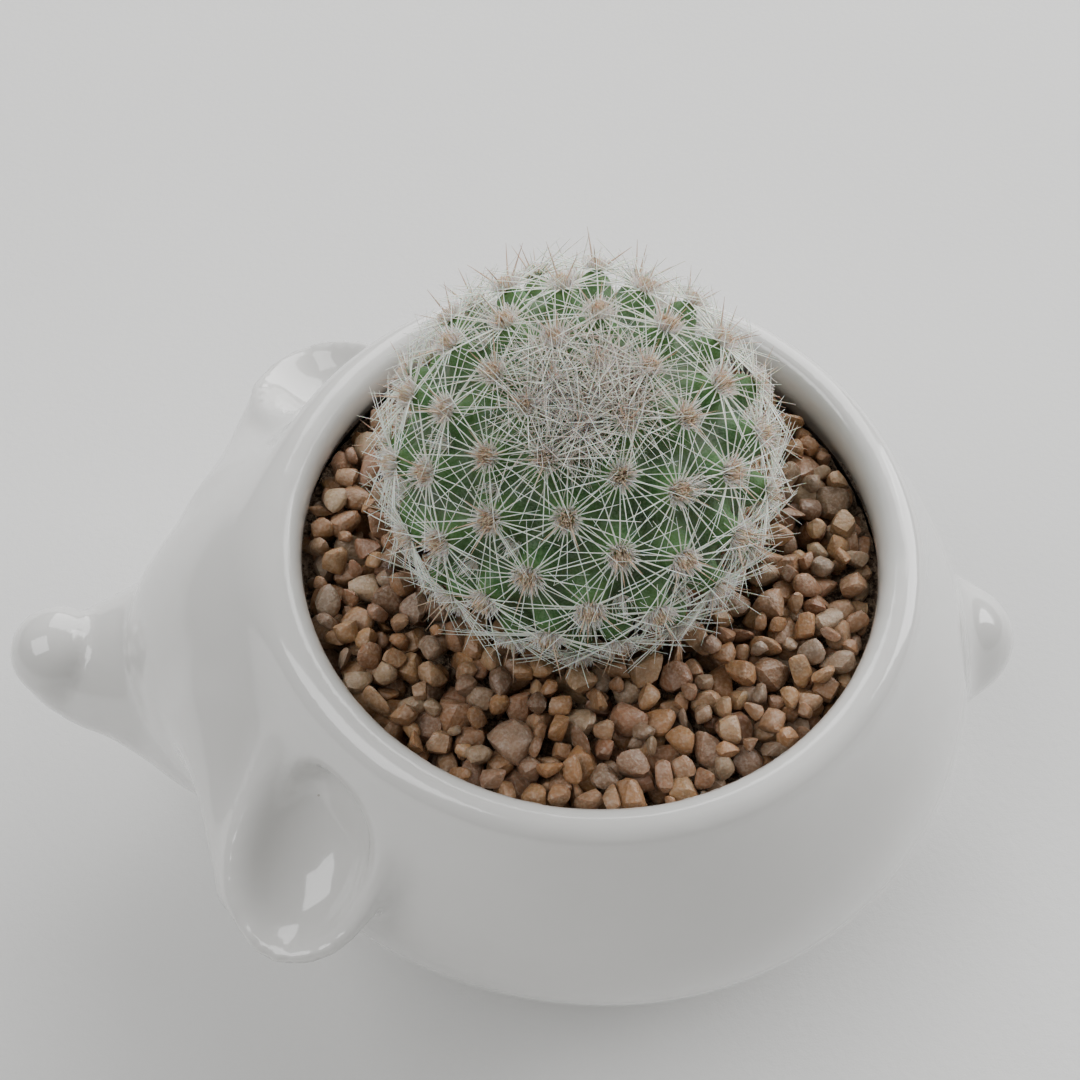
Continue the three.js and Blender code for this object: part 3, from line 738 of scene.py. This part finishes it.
def facets(tree, mesh, angle):
    """The mesh with its edges kept sharp where its faces meet at more than the angle."""
    between = add(tree, "GeometryNodeInputMeshEdgeAngle").outputs[0]
    sharp = add(tree, "FunctionNodeCompare", {"A": between, "B": angle}, operation="GREATER_THAN")
    kept = {"Geometry": mesh, "Selection": sharp, "Shade Smooth": False}
    return add(tree, "GeometryNodeSetShadeSmooth", kept, domain="EDGE").outputs[0]


def one_stone(tree, given, seed):
    """A worn hull round random points that lie near a ball of radius one."""
    ball = random_value(tree, (-1, -1, -1), (1, 1, 1), seed, kind="FLOAT_VECTOR")
    unit = vector_maths(tree, "NORMALIZE", ball)
    reach = random_value(tree, *CORNER_REACH, maths(tree, "ADD", seed, REACH_SEED))
    place = vector_maths(tree, "SCALE", unit, scale=reach)
    corners = add(tree, "GeometryNodePoints", {"Count": given["Corners"], "Position": place})
    hull = add(tree, "GeometryNodeConvexHull", {"Geometry": corners})
    subdivided = {"Mesh": hull, "Level": 1, "Edge Crease": given["Edges"]}
    worn = add(tree, "GeometryNodeSubdivisionSurface", subdivided)
    return facets(tree, worn, given["Facet angle"])


inputs = {
    "Corners": 13, "Edges": 0.85, "Flattest": 0.78, "Longest": 1.3, "Facet angle": 0.6, "Seed": 0,
}
PEBBLES, given, result = new_geometry_tree("Pebble bed", inputs)
kinds = add(PEBBLES, "GeometryNodeGeometryToInstance")
for kind in range(STONE_KINDS):
    stone = one_stone(PEBBLES, given, maths(PEBBLES, "ADD", given["Seed"], kind))
    PEBBLES.links.new(stone, kinds.inputs[0])
turn = random_value(PEBBLES, (0, 0, 0), (math.tau,) * 3, given["Seed"], kind="FLOAT_VECTOR")
even = add(PEBBLES, "ShaderNodeCombineXYZ", {axis: given["Flattest"] for axis in "XYZ"})
most = add(PEBBLES, "ShaderNodeCombineXYZ", {axis: given["Longest"] for axis in "XYZ"})
shape_seed = maths(PEBBLES, "ADD", given["Seed"], SHAPE_SEED)
shape = random_value(PEBBLES, even, most, shape_seed, kind="FLOAT_VECTOR")
strewn = {
    "Points": given["Points"],
    "Instance": kinds,
    "Pick Instance": True,
    "Rotation": turn,
    "Scale": vector_maths(PEBBLES, "SCALE", shape, scale=named(PEBBLES, "radius_m")),
}
plant(PEBBLES, given, result, strewn)

# %% The stones' material
STONE_TINTS = [
    (0.0, (0.36, 0.18, 0.078)),
    (0.13, (0.41, 0.24, 0.115)),
    (0.26, (0.26, 0.125, 0.065)),
    (0.39, (0.44, 0.28, 0.15)),
    (0.52, (0.33, 0.17, 0.095)),
    (0.65, (0.29, 0.21, 0.145)),
    (0.78, (0.4, 0.205, 0.085)),
    (0.9, (0.175, 0.1, 0.06)),
    (1.0, (0.45, 0.32, 0.2)),
]
STONE_SHADE = (0.12, 0.07, 0.035)
STONE_GRAIN = (0.75, 0.7, 0.62)
constants = {"Specular IOR Level": 0.5, "Subsurface Weight": 0.15, "Subsurface Scale": 0.001}
stone_material, tree, shader = new_material("gravel_stone", constants)
own = ramp(tree, attribute(tree, "tint"), STONE_TINTS)
veins = mottle(tree, 520, 0.12, mix_colour(tree, 0.4, own, STONE_SHADE), own)
paler = mix_colour(tree, 0.25, own, STONE_GRAIN)
grains = mottle(tree, 2600, 0.1, veins["Color"], paler)
share = maths(tree, "MULTIPLY", grains["Mask"], 0.5)
colour = mix_colour(tree, share, veins["Color"], grains["Color"])
paint(tree, shader, colour, veins["Mask"], 0.5, 0.34)
relief(tree, shader, 700, 3500, 0.4, depth=0.25)

# %% The bed of stones
TINT_SEED = 7
KIND_SEED = 5
chance = random.Random(TINT_SEED)
marks = {"radius_m": stones[:, 3] * MM, "tint": [chance.random() for _ in stones]}
values = {"Seed": KIND_SEED, "Material": stone_material}
gravel = grown("gravel_stones", stones[:, :3], marks, PEBBLES, values)
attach(gravel, "root")
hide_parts("gravel_bed")

# %% [markdown]
# ## Grit and painted shade between the stones
#
# Between the stones one sees a sheet that lies just under the top stones, with a lumpy surface,
# and it stops the eye from looking down into the pot. Its dark ground is painted shade for the
# depths between the stones, and paler grains of grit are mottled on it.

# %% The grit
GRIT_HEIGHT = 50.6
GRIT_RINGS = 26
GRIT_SPOKES = 160
GRIT_UNDER_STEM = 3
LUMP = {"height": 0.5, "x_waves": 2.3, "y_waves": 2.1}


def make_grit_mesh():
    """Points on rings round the neck, and the faces between them."""
    inner, outer = NECK_RADIUS - GRIT_UNDER_STEM, wall_radius(GRIT_HEIGHT) - WALL_GAP
    places, faces = [], []
    for ring in range(GRIT_RINGS + 1):
        share = ring / GRIT_RINGS
        for spoke in range(GRIT_SPOKES):
            turn = spoke / GRIT_SPOKES * math.tau
            radius = inner + (outer - inner) * share
            x = radius * math.cos(turn) + STEM["centre"][0] * (1 - share)
            y = radius * math.sin(turn) + STEM["centre"][1] * (1 - share)
            lump = math.sin(x * LUMP["x_waves"] + ring) * math.sin(y * LUMP["y_waves"])
            places.append((x, y, GRIT_HEIGHT + LUMP["height"] * lump))
            if ring < GRIT_RINGS:
                a, b = ring * GRIT_SPOKES, (ring + 1) * GRIT_SPOKES
                after = (spoke + 1) % GRIT_SPOKES
                faces.append((a + spoke, b + spoke, b + after, a + after))
    return places, faces


grit_and_shade = mesh_piece("gravel_grit_and_shade", *make_grit_mesh())
material, tree, shader = new_material("grit_and_shade", {"Specular IOR Level": 0.3})
# The near-black ground colour is painted shade between the stones; the paler mottles are grains of
# grit.
grains = mottle(tree, 700, 0.08, (0.05, 0.03, 0.018), (0.2, 0.13, 0.08))
pale = mottle(tree, 1500, 0.05, grains["Color"], (0.3, 0.22, 0.15))
paint(tree, shader, pale["Color"], grains["Mask"], 0.9, 0.7)
relief(tree, shader, 900, 2400, 0.5, depth=1.2)
grit_and_shade.data.materials.append(material)
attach(grit_and_shade, "root")

# %% [markdown]
# ## The plant's body
#
# A mammillaria has no ribs. Its stem is covered in tubercles, which stand in spirals because each
# new one grows at the golden angle from the last. The young ones at the crown are small and close,
# and they spread as the stem widens. The same rule places them here.

# %% The areoles
GOLDEN_ANGLE = math.pi * (3 - math.sqrt(5))
TUBERCLE_REACH = 3.3
AREOLE_AREA = 68
FIRST_AGE = 1.5
CROWN_CROWDING = 4
CROWN_START = 0.994
SPREADING = 1.6
YOUNGEST_SIZE = 0.35
LOWEST_TILT = math.radians(156)
LOWEST_FOOT = 60
LOWER_FULLNESS = 0.2
STEM_AXIS = Vector((-0.09, -0.225, 1)).normalized()
STEM_LEAN = np.array(Vector((0, 0, 1)).rotation_difference(STEM_AXIS).to_matrix())


def make_areoles():
    """The turn, the tilt from the top and the growth, from 0 to 1, of each areole."""
    sphere = 2 * math.pi * (STEM["radius"] + TUBERCLE_REACH) ** 2
    height, found = CROWN_START, []
    while height > math.cos(LOWEST_TILT):
        age = len(found) + FIRST_AGE
        growth = age / (age + CROWN_CROWDING)
        found.append((len(found) * GOLDEN_ANGLE, math.acos(height), growth))
        height -= AREOLE_AREA * growth**SPREADING / sphere
    return found


def on_stem(turn, tilt):
    """The place on the leaning stem and the direction straight out of it."""
    a, h = STEM["radius"], STEM["height"]
    flat = math.sin(tilt) ** (LOWER_FULLNESS if tilt > math.pi / 2 else 1)
    unit = np.array([flat * math.cos(turn), flat * math.sin(turn), math.cos(tilt)])
    outward = unit / (a, a, h)
    return STEM["centre"] + STEM_LEAN @ (unit * (a, a, h)), STEM_LEAN @ outward / length(outward)


def matured(youngest, growths):
    """A share that rises from that of the youngest to 1 with the growth."""
    return youngest + (1 - youngest) * growths


areoles = [areole for areole in make_areoles() if on_stem(*areole[:2])[0][2] > LOWEST_FOOT]
growths = np.array([growth for _, _, growth in areoles])
sizes = matured(YOUNGEST_SIZE, growths)
tubercle_feet, outward = map(np.array, zip(*[on_stem(turn, tilt) for turn, tilt, _ in areoles]))
tips = tubercle_feet + outward * TUBERCLE_REACH * sizes[:, None]
print(len(areoles), "areoles, the highest at", round(tips[:, 2].max(), 1), "mm")

# %% The stem with its tubercles
TUBERCLE = {"foot_radius": 3.9, "tip_radius": 1.9, "depth": 1.5, "near": 9, "fillet": 1}
NECK = {"drop": 2.5, "narrower": 1.8, "above_grit": 8}
ROOT = {"top_radius": 4.6, "tip_radius": 1.2, "tip_z": 26}
STEM_FILLET = 4
STEM_MARGIN, ROOT_MARGIN = 2, 3
STEM_CELL = 0.5


def bare_stem_distance(points):
    """The stem without its tubercles, and the neck and the root under it."""
    x, y = STEM["centre"][:2]
    radii = STEM["radius"], STEM["radius"], STEM["height"]
    body = ellipsoid((points - STEM["centre"]) @ STEM_LEAN, 0, radii)
    neck_top = STEM["centre"] - (0, 0, NECK["drop"])
    neck_foot = (x, y, GRIT_HEIGHT + NECK["above_grit"])
    neck = cone(points, neck_top, neck_foot, STEM["radius"] - NECK["narrower"], NECK_RADIUS)
    root_ends = (x, y, GRIT_HEIGHT), (x, y, ROOT["tip_z"])
    root = cone(points, *root_ends, ROOT["top_radius"], ROOT["tip_radius"])
    return blend(blend(body, neck, STEM_FILLET), root, STEM_FILLET)


def stem_distance(points):
    distance = bare_stem_distance(points)
    for tip, way, size in zip(tips, outward, sizes):
        near = length(points - tip) < TUBERCLE["near"]
        top = tip - way * TUBERCLE["tip_radius"] * size
        bottom = tip - way * (TUBERCLE_REACH + TUBERCLE["depth"]) * size
        radii = TUBERCLE["foot_radius"] * size, TUBERCLE["tip_radius"] * size
        bump = cone(points[near], bottom, top, *radii)
        distance[near] = blend(distance[near], bump, TUBERCLE["fillet"])
    return distance


reach = STEM["radius"] + TUBERCLE_REACH + STEM_MARGIN
low, high = STEM["centre"] - reach, STEM["centre"] + reach
low[2] = ROOT["tip_z"] - ROOT_MARGIN
body_points, body_faces = skin(stem_distance, low, high, STEM_CELL)
cactus = mesh_piece("mammillaria_stem", body_points, body_faces)

# %% [markdown]
# ## The plant's skin
#
# The skin is a waxy deep green. Light and shade are painted on it: a painted highlight, paler and
# yellower, where a tubercle catches the sun, and painted shade, dark in the folds. The distance
# from the nearest areole, which is kept on the mesh, drives that change.

# %% The skin's material
SHADED_FOLD_DISTANCE = 4.5
# These stops paint light and shade: pale green at a tubercle's tip is a painted highlight, near black
# in the folds is painted shade.
SKIN_LIGHT_AND_SHADE_STOPS = [
    (0, (0.105, 0.22, 0.06)),
    (0.4, (0.05, 0.155, 0.04)),
    (0.75, (0.026, 0.09, 0.024)),
    (1, (0.011, 0.038, 0.013)),
]
SUNNY_SKIN = (0.2, 0.3, 0.08)
SKIN_DOTS = (0.4, 0.5, 0.3)
constants = {"Specular IOR Level": 0.35, "Subsurface Weight": 0.12, "Subsurface Scale": 0.002}
material, tree, shader = new_material("cactus_skin", constants)
lit_and_shaded_green = ramp(tree, attribute(tree, "from_areole"), SKIN_LIGHT_AND_SHADE_STOPS)
patches = mottle(tree, 260, 0.2, lit_and_shaded_green, mix_colour(tree, 0.3, lit_and_shaded_green, SUNNY_SKIN))
dotted = mix_colour(tree, 0.15, lit_and_shaded_green, SKIN_DOTS)
dots = mottle(tree, 3600, 0.06, patches["Color"], dotted)
paint(tree, shader, dots["Color"], patches["Mask"], 0.42, 0.6)
relief(tree, shader, 900, 4200, 0.5, depth=0.12)
# The distance from the nearest tip drives the painted highlight on the tips and the painted shade in
# the folds.
near_tip = np.min([length(body_points - tip) for tip in tips], axis=0)
add_attribute(cactus.data, "from_areole", clamp(near_tip / SHADED_FOLD_DISTANCE, 0, 1))
cactus.data.materials.append(material)
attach(cactus, "root")
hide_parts("mammillaria")

# %% [markdown]
# ## Spines and wool from one tree
#
# Every areole carries a felt cushion, a ring of white radial spines that lie almost flat, a few
# stouter central spines, and wool. They are all bundles of tapering hairs round a point, and differ
# only in number, length, thickness and rise. So one tree serves them all: it copies each areole
# point, turns each copy round the way out, and sets one bent, tapering hair on it.

# %% The spine bundle's inputs
HAIR_INPUTS = {
    "Count": 26, "Length": 6.5 * MM, "Length spread": 0.15,
    "Root radius": 0.08 * MM, "Ring radius": 0.6 * MM,
    "Lowest rise": 0.1, "Highest rise": 0.4, "Bend": 0.06,
    "Tip share": 0.1, "Fill": 0.15, "Steps": 4, "Seed": 0,
}
HAIR_SIDES = 3
FIRST_HANDLE, LAST_HANDLE = 0.33, 0.66  # along a hair of length one
LEAN_AT_LAST_HANDLE = 0.3
JITTER = 0.3
STEEPEST_RISE = 1.45
YOUNG_LIFT = 2
SKEW = (0.13, 0.21, 0.97)  # a direction in which no areole looks
RISE_SEED, LENGTH_SEED, FILL_SEED = 31, 62, 93  # added to the tree's own seed

# %% One hair


def one_hair(tree, given):
    """A hair, one unit long, that stands up along Z, leans over towards X and tapers."""
    lean = given["Bend"]
    middle = {"X": maths(tree, "MULTIPLY", lean, LEAN_AT_LAST_HANDLE), "Z": LAST_HANDLE}
    bends = {
        "Resolution": given["Steps"],
        "Start": (0, 0, 0),
        "Start Handle": (0, 0, FIRST_HANDLE),
        "End Handle": add(tree, "ShaderNodeCombineXYZ", middle),
        "End": add(tree, "ShaderNodeCombineXYZ", {"X": lean, "Z": 1.0}),
    }
    line = add(tree, "GeometryNodeCurvePrimitiveBezierSegment", bends)
    share = add(tree, "GeometryNodeSplineParameter").outputs["Factor"]
    kept = {"Geometry": line, "Name": "along", "Value": share}
    marked = add(tree, "GeometryNodeStoreNamedAttribute", kept)
    thickness = maths(tree, "DIVIDE", given["Root radius"], given["Length"])
    circle = {"Resolution": HAIR_SIDES, "Radius": thickness}
    tube = {
        "Curve": marked,
        "Profile Curve": add(tree, "GeometryNodeCurvePrimitiveCircle", circle),
        "Scale": spread(tree, share, 1.0, given["Tip share"]),
        "Fill Caps": True,
    }
    return add(tree, "GeometryNodeCurveToMesh", tube)


# %% Where each hair stands and points


def own_random(tree, given, low, high, seed, index):
    """A random number of its own for each hair."""
    return random_value(tree, low, high, maths(tree, "ADD", given["Seed"], seed), index)


def round_the_areole(tree, given, out, number, index):
    """The direction along the skin for each hair, by its number in the bundle."""
    jitter = random_value(tree, -JITTER, JITTER, given["Seed"], index)
    place = maths(tree, "DIVIDE", maths(tree, "ADD", number, jitter), given["Count"])
    angle = maths(tree, "ADD", maths(tree, "MULTIPLY", place, math.tau), named(tree, "phase"))
    side = vector_maths(tree, "NORMALIZE", vector_maths(tree, "CROSS_PRODUCT", out, SKEW))
    other = vector_maths(tree, "CROSS_PRODUCT", out, side)
    across = vector_maths(tree, "SCALE", side, scale=maths(tree, "COSINE", angle))
    along = vector_maths(tree, "SCALE", other, scale=maths(tree, "SINE", angle))
    return vector_maths(tree, "ADD", across, along)


def stood_up(tree, given, out, flat, index):
    """The turn of each hair, which rises from the skin by its own angle, and more if young."""
    rises = given["Lowest rise"], given["Highest rise"]
    own_rise = own_random(tree, given, *rises, RISE_SEED, index)
    young = maths(tree, "SUBTRACT", 1, named(tree, "growth"))
    lifted = maths(tree, "MULTIPLY_ADD", maths(tree, "POWER", young, 2), YOUNG_LIFT, own_rise)
    rise = maths(tree, "MINIMUM", lifted, STEEPEST_RISE)
    up = vector_maths(tree, "SCALE", out, scale=maths(tree, "SINE", rise))
    along = vector_maths(tree, "SCALE", flat, scale=maths(tree, "COSINE", rise))
    ways = {0: vector_maths(tree, "ADD", up, along), 1: out}
    return add(tree, "FunctionNodeAxesToRotation", ways, primary_axis="Z", secondary_axis="X")


def root_offset(tree, given, flat, index):
    """From the point to the root, on a ring, or anywhere inside it where the fill is 1."""
    chosen = own_random(tree, given, 0.0, 1.0, FILL_SEED, index)
    inwards = maths(tree, "MULTIPLY", chosen, given["Fill"])
    reach = maths(tree, "MULTIPLY", maths(tree, "SUBTRACT", 1, inwards), given["Ring radius"])
    reach = maths(tree, "MULTIPLY", reach, named(tree, "size"))
    return vector_maths(tree, "SCALE", flat, scale=reach)


def own_length(tree, given, index):
    most = given["Length spread"]
    least = maths(tree, "MULTIPLY", most, -1)
    uneven = own_random(tree, given, least, most, LENGTH_SEED, index)
    longer = maths(tree, "MULTIPLY", maths(tree, "ADD", uneven, 1), given["Length"])
    return maths(tree, "MULTIPLY", longer, named(tree, "length_share"))


# %% The spine bundle tree
SPINES, given, result = new_geometry_tree("Spine bundle", HAIR_INPUTS)
wanted = {"Geometry": given["Points"], "Amount": given["Count"]}
copies = add(SPINES, "GeometryNodeDuplicateElements", wanted, domain="POINT")
number = copies.outputs["Duplicate Index"]
index = add(SPINES, "GeometryNodeInputIndex")
out = named(SPINES, "outward", "FLOAT_VECTOR")
flat = round_the_areole(SPINES, given, out, number, index)
offset = root_offset(SPINES, given, flat, index)
standing = {
    "Points": add(SPINES, "GeometryNodeSetPosition", {"Geometry": copies, "Offset": offset}),
    "Instance": one_hair(SPINES, given),
    "Rotation": stood_up(SPINES, given, out, flat, index),
    "Scale": own_length(SPINES, given, index),
}
plant(SPINES, given, result, standing)

# %% [markdown]
# ## The spines
#
# The radial spines are glassy white needles, 24 to an areole, and they cross those of their
# neighbours. The central spines stand out from the skin. They are pale at the root, like horn, and
# reddish brown at the tip. Both colours run along each spine, so the tree keeps the share of its
# length on every point of it.

# %% Bundles of hairs
YOUNGEST_LENGTH = 0.65
INPUTS_IN_MM = {"Length", "Root radius", "Ring radius"}


def add_hairs(name, material, stand=None, *, seed, **hair):
    """Bundles of hairs on the areoles, or where the given places, ways and growths say."""
    values = {"Seed": seed, "Material": material}
    for key, value in hair.items():
        label = key.replace("_", " ").capitalize()
        values[label] = value * MM if label in INPUTS_IN_MM else value
    places, ways, ages = stand or (tips, outward, growths)
    chance = random.Random(seed)
    marks = {
        "outward": ways,
        "growth": ages,
        "size": matured(YOUNGEST_SIZE, ages),
        "length_share": matured(YOUNGEST_LENGTH, ages),
        "phase": [chance.random() * math.tau for _ in ages],
    }
    piece = grown(name, places, marks, SPINES, values)
    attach(piece, "root")


# %% The materials of spines and wool
WORN_SPINE = (0.62, 0.62, 0.5)


def make_needle(name, stops, roughness):
    """A pale, slightly clear material, coloured along each hair from its root to its tip."""
    constants = {"Specular IOR Level": 0.5, "Subsurface Weight": 0.2, "Subsurface Scale": 0.0004}
    material, tree, shader = new_material(name, constants)
    own = ramp(tree, attribute(tree, "along"), stops)
    worn = mottle(tree, 1300, 0.2, own, mix_colour(tree, 0.2, own, WORN_SPINE))
    paint(tree, shader, worn["Color"], worn["Mask"], roughness, roughness + 0.15)
    relief(tree, shader, 4000, 9000, 0.3, depth=0.02)
    return material


white = [(0, (0.76, 0.7, 0.56)), (0.1, (0.9, 0.93, 0.83)), (1, (0.94, 0.98, 0.9))]
# The young spines are pink tan; their ramp also darkens them towards the root with painted shade, for
# the shade deep in the crown's tangle.
young = [(0, (0.46, 0.37, 0.31)), (0.3, (0.65, 0.57, 0.52)), (1, (0.8, 0.75, 0.7))]
horn = [(0, (0.7, 0.58, 0.44)), (0.5, (0.6, 0.45, 0.33)), (1, (0.34, 0.2, 0.13))]
WHITE_NEEDLE = make_needle("white_spine", white, 0.4)
YOUNG_NEEDLE_WITH_SHADE = make_needle("young_spine_with_shade", young, 0.4)
HORN_NEEDLE = make_needle("horn_spine", horn, 0.35)
FELT = make_needle("areole_felt", [(0, (0.58, 0.4, 0.24)), (1, (0.82, 0.66, 0.5))], 0.9)
WOOL = make_needle("white_wool", [(0, (0.72, 0.66, 0.62)), (1, (0.92, 0.88, 0.86))], 0.9)

# %% Radial spines, central spines, felt and wool
add_hairs(
    "radial_spines", WHITE_NEEDLE, seed=11,
    count=24, length=6.6, length_spread=0.2, root_radius=0.11, ring_radius=0.8,
    lowest_rise=0.0, highest_rise=0.34, bend=-0.04, tip_share=0.2,
)
add_hairs(
    "central_spines", HORN_NEEDLE, seed=12,
    count=4, length=3.9, length_spread=0.25, root_radius=0.155, ring_radius=0.4,
    lowest_rise=0.6, highest_rise=1.35, bend=-0.03,
)
add_hairs(
    "areole_felt", FELT, seed=13,
    count=110, length=1, length_spread=0.3, root_radius=0.085, ring_radius=0.9,
    lowest_rise=1.0, highest_rise=1.5, bend=0.2, tip_share=0.5, fill=1, steps=2,
)
add_hairs(
    "areole_wool", WOOL, seed=14,
    count=140, length=1.15, length_spread=0.35, root_radius=0.055, ring_radius=1.3,
    lowest_rise=0.3, highest_rise=1.2, bend=0.3, tip_share=0.4, fill=0.5, steps=2,
)

# %% [markdown]
# ## The crown and the axils
#
# At the crown the areoles are so young and close that their spines stand up in one pale tangle and
# hide the skin. Between the older tubercles, in the axils, the wool that each areole shed when it
# was young still hangs in grey tufts. Both are made by the same tree from other points.

# %% Where the tangle and the tufts stand
CROWN_POINTS = 48
CROWN_TILT = math.radians(20)
CROWN_LIFT = (1.4, 3.4)
YOUNG_AREOLES = 12
AXIL_STEP = 8
AXIL_SHARE = 0.45
AXIL_LIFT = 1.2


def crown_points(seed):
    """Places strewn over the crown, a little above the skin."""
    chance = random.Random(seed)
    places, ways = [], []
    for _ in range(CROWN_POINTS):
        foot, way = on_stem(chance.random() * math.tau, CROWN_TILT * math.sqrt(chance.random()))
        places.append(foot + way * chance.uniform(*CROWN_LIFT))
        ways.append(way)
    return places, ways, np.ones(CROWN_POINTS)


def axil_tufts(seed):
    """Places half-way between areoles that are neighbours on one spiral, on the skin."""
    chance = random.Random(seed)
    places, ways = [], []
    older = tubercle_feet[YOUNG_AREOLES:]
    for first, second in zip(older, older[AXIL_STEP:]):
        if chance.random() < AXIL_SHARE:
            middle = (first + second) / 2 - STEM["centre"]
            way = middle / length(middle)
            places.append(STEM["centre"] + way * (length(middle) + AXIL_LIFT))
            ways.append(way)
    return places, ways, np.ones(len(places))


# %% Crown tangle and axil wool
# The crown spines carry painted shade that darkens them towards their roots.
add_hairs(
    "crown_spines", YOUNG_NEEDLE_WITH_SHADE, crown_points(seed=5), seed=15,
    count=10, length=5.4, length_spread=0.35, root_radius=0.085, ring_radius=0.5,
    lowest_rise=-0.1, highest_rise=0.55, bend=-0.1, fill=1,
)
add_hairs(
    "crown_wool", WOOL, crown_points(seed=6), seed=17,
    count=12, length=1.9, length_spread=0.4, root_radius=0.045, ring_radius=1.5,
    lowest_rise=-0.2, highest_rise=0.9, bend=0.3, tip_share=0.5, fill=1, steps=3,
)
add_hairs(
    "axil_wool", WOOL, axil_tufts(seed=3), seed=16,
    count=36, length=1.6, length_spread=0.5, root_radius=0.045, ring_radius=0.7,
    lowest_rise=0.1, highest_rise=1.4, bend=0.6, tip_share=0.6, fill=1,
)

# %% [markdown]
# ## Studio
#
# A pale floor, a pale sky and three soft lights: a large one from behind, as a window would be, a
# smaller one from the right, and a weak one from the upper left that opens the shadows.

# %% Floor, lights and sky
FLOOR_REACH = 1500
LIGHTS_AIM = Vector((0, 0, 0.04))
SKY_COLOUR = (0.95, 0.94, 0.92, 1)
SKY_STRENGTH = 0.29


def soft_light(name, place, size, watts):
    data = bpy.data.lights.new(name, "AREA")
    data.size = size
    data.energy = watts
    light = bpy.data.objects.new(name, data)
    light.location = place
    light.rotation_euler = (LIGHTS_AIM - Vector(place)).to_track_quat("-Z", "Y").to_euler()
    bpy.context.scene.collection.objects.link(light)
    print("light:", name, watts, "W")


constants = {"Specular IOR Level": 0.2, "Roughness": 0.8}
material, tree, shader = new_material("pale_floor", constants)
paper = mottle(tree, 12, 0.3, (0.74, 0.74, 0.73), (0.78, 0.78, 0.77))
tree.links.new(paper["Color"], shader["Base Color"])
relief(tree, shader, 900, 4000, 0.5, depth=0.05)
corners = FLOOR_REACH * np.array([(-1, -1, 0), (1, -1, 0), (1, 1, 0), (-1, 1, 0)])
floor = mesh_piece("floor", corners, [(0, 1, 2, 3)])
floor.data.materials.append(material)
soft_light("window", (0.2, 0.85, 0.55), 1.0, 12)
soft_light("side", (0.75, 0.35, 0.5), 0.6, 6.5)
soft_light("fill", (-0.5, -0.1, 0.8), 0.6, 4.5)
sky = bpy.data.worlds.new("pale_sky")
sky.use_nodes = True
light = sky.node_tree.nodes["Background"].inputs
light["Color"].default_value, light["Strength"].default_value = SKY_COLOUR, SKY_STRENGTH
bpy.context.scene.world = sky
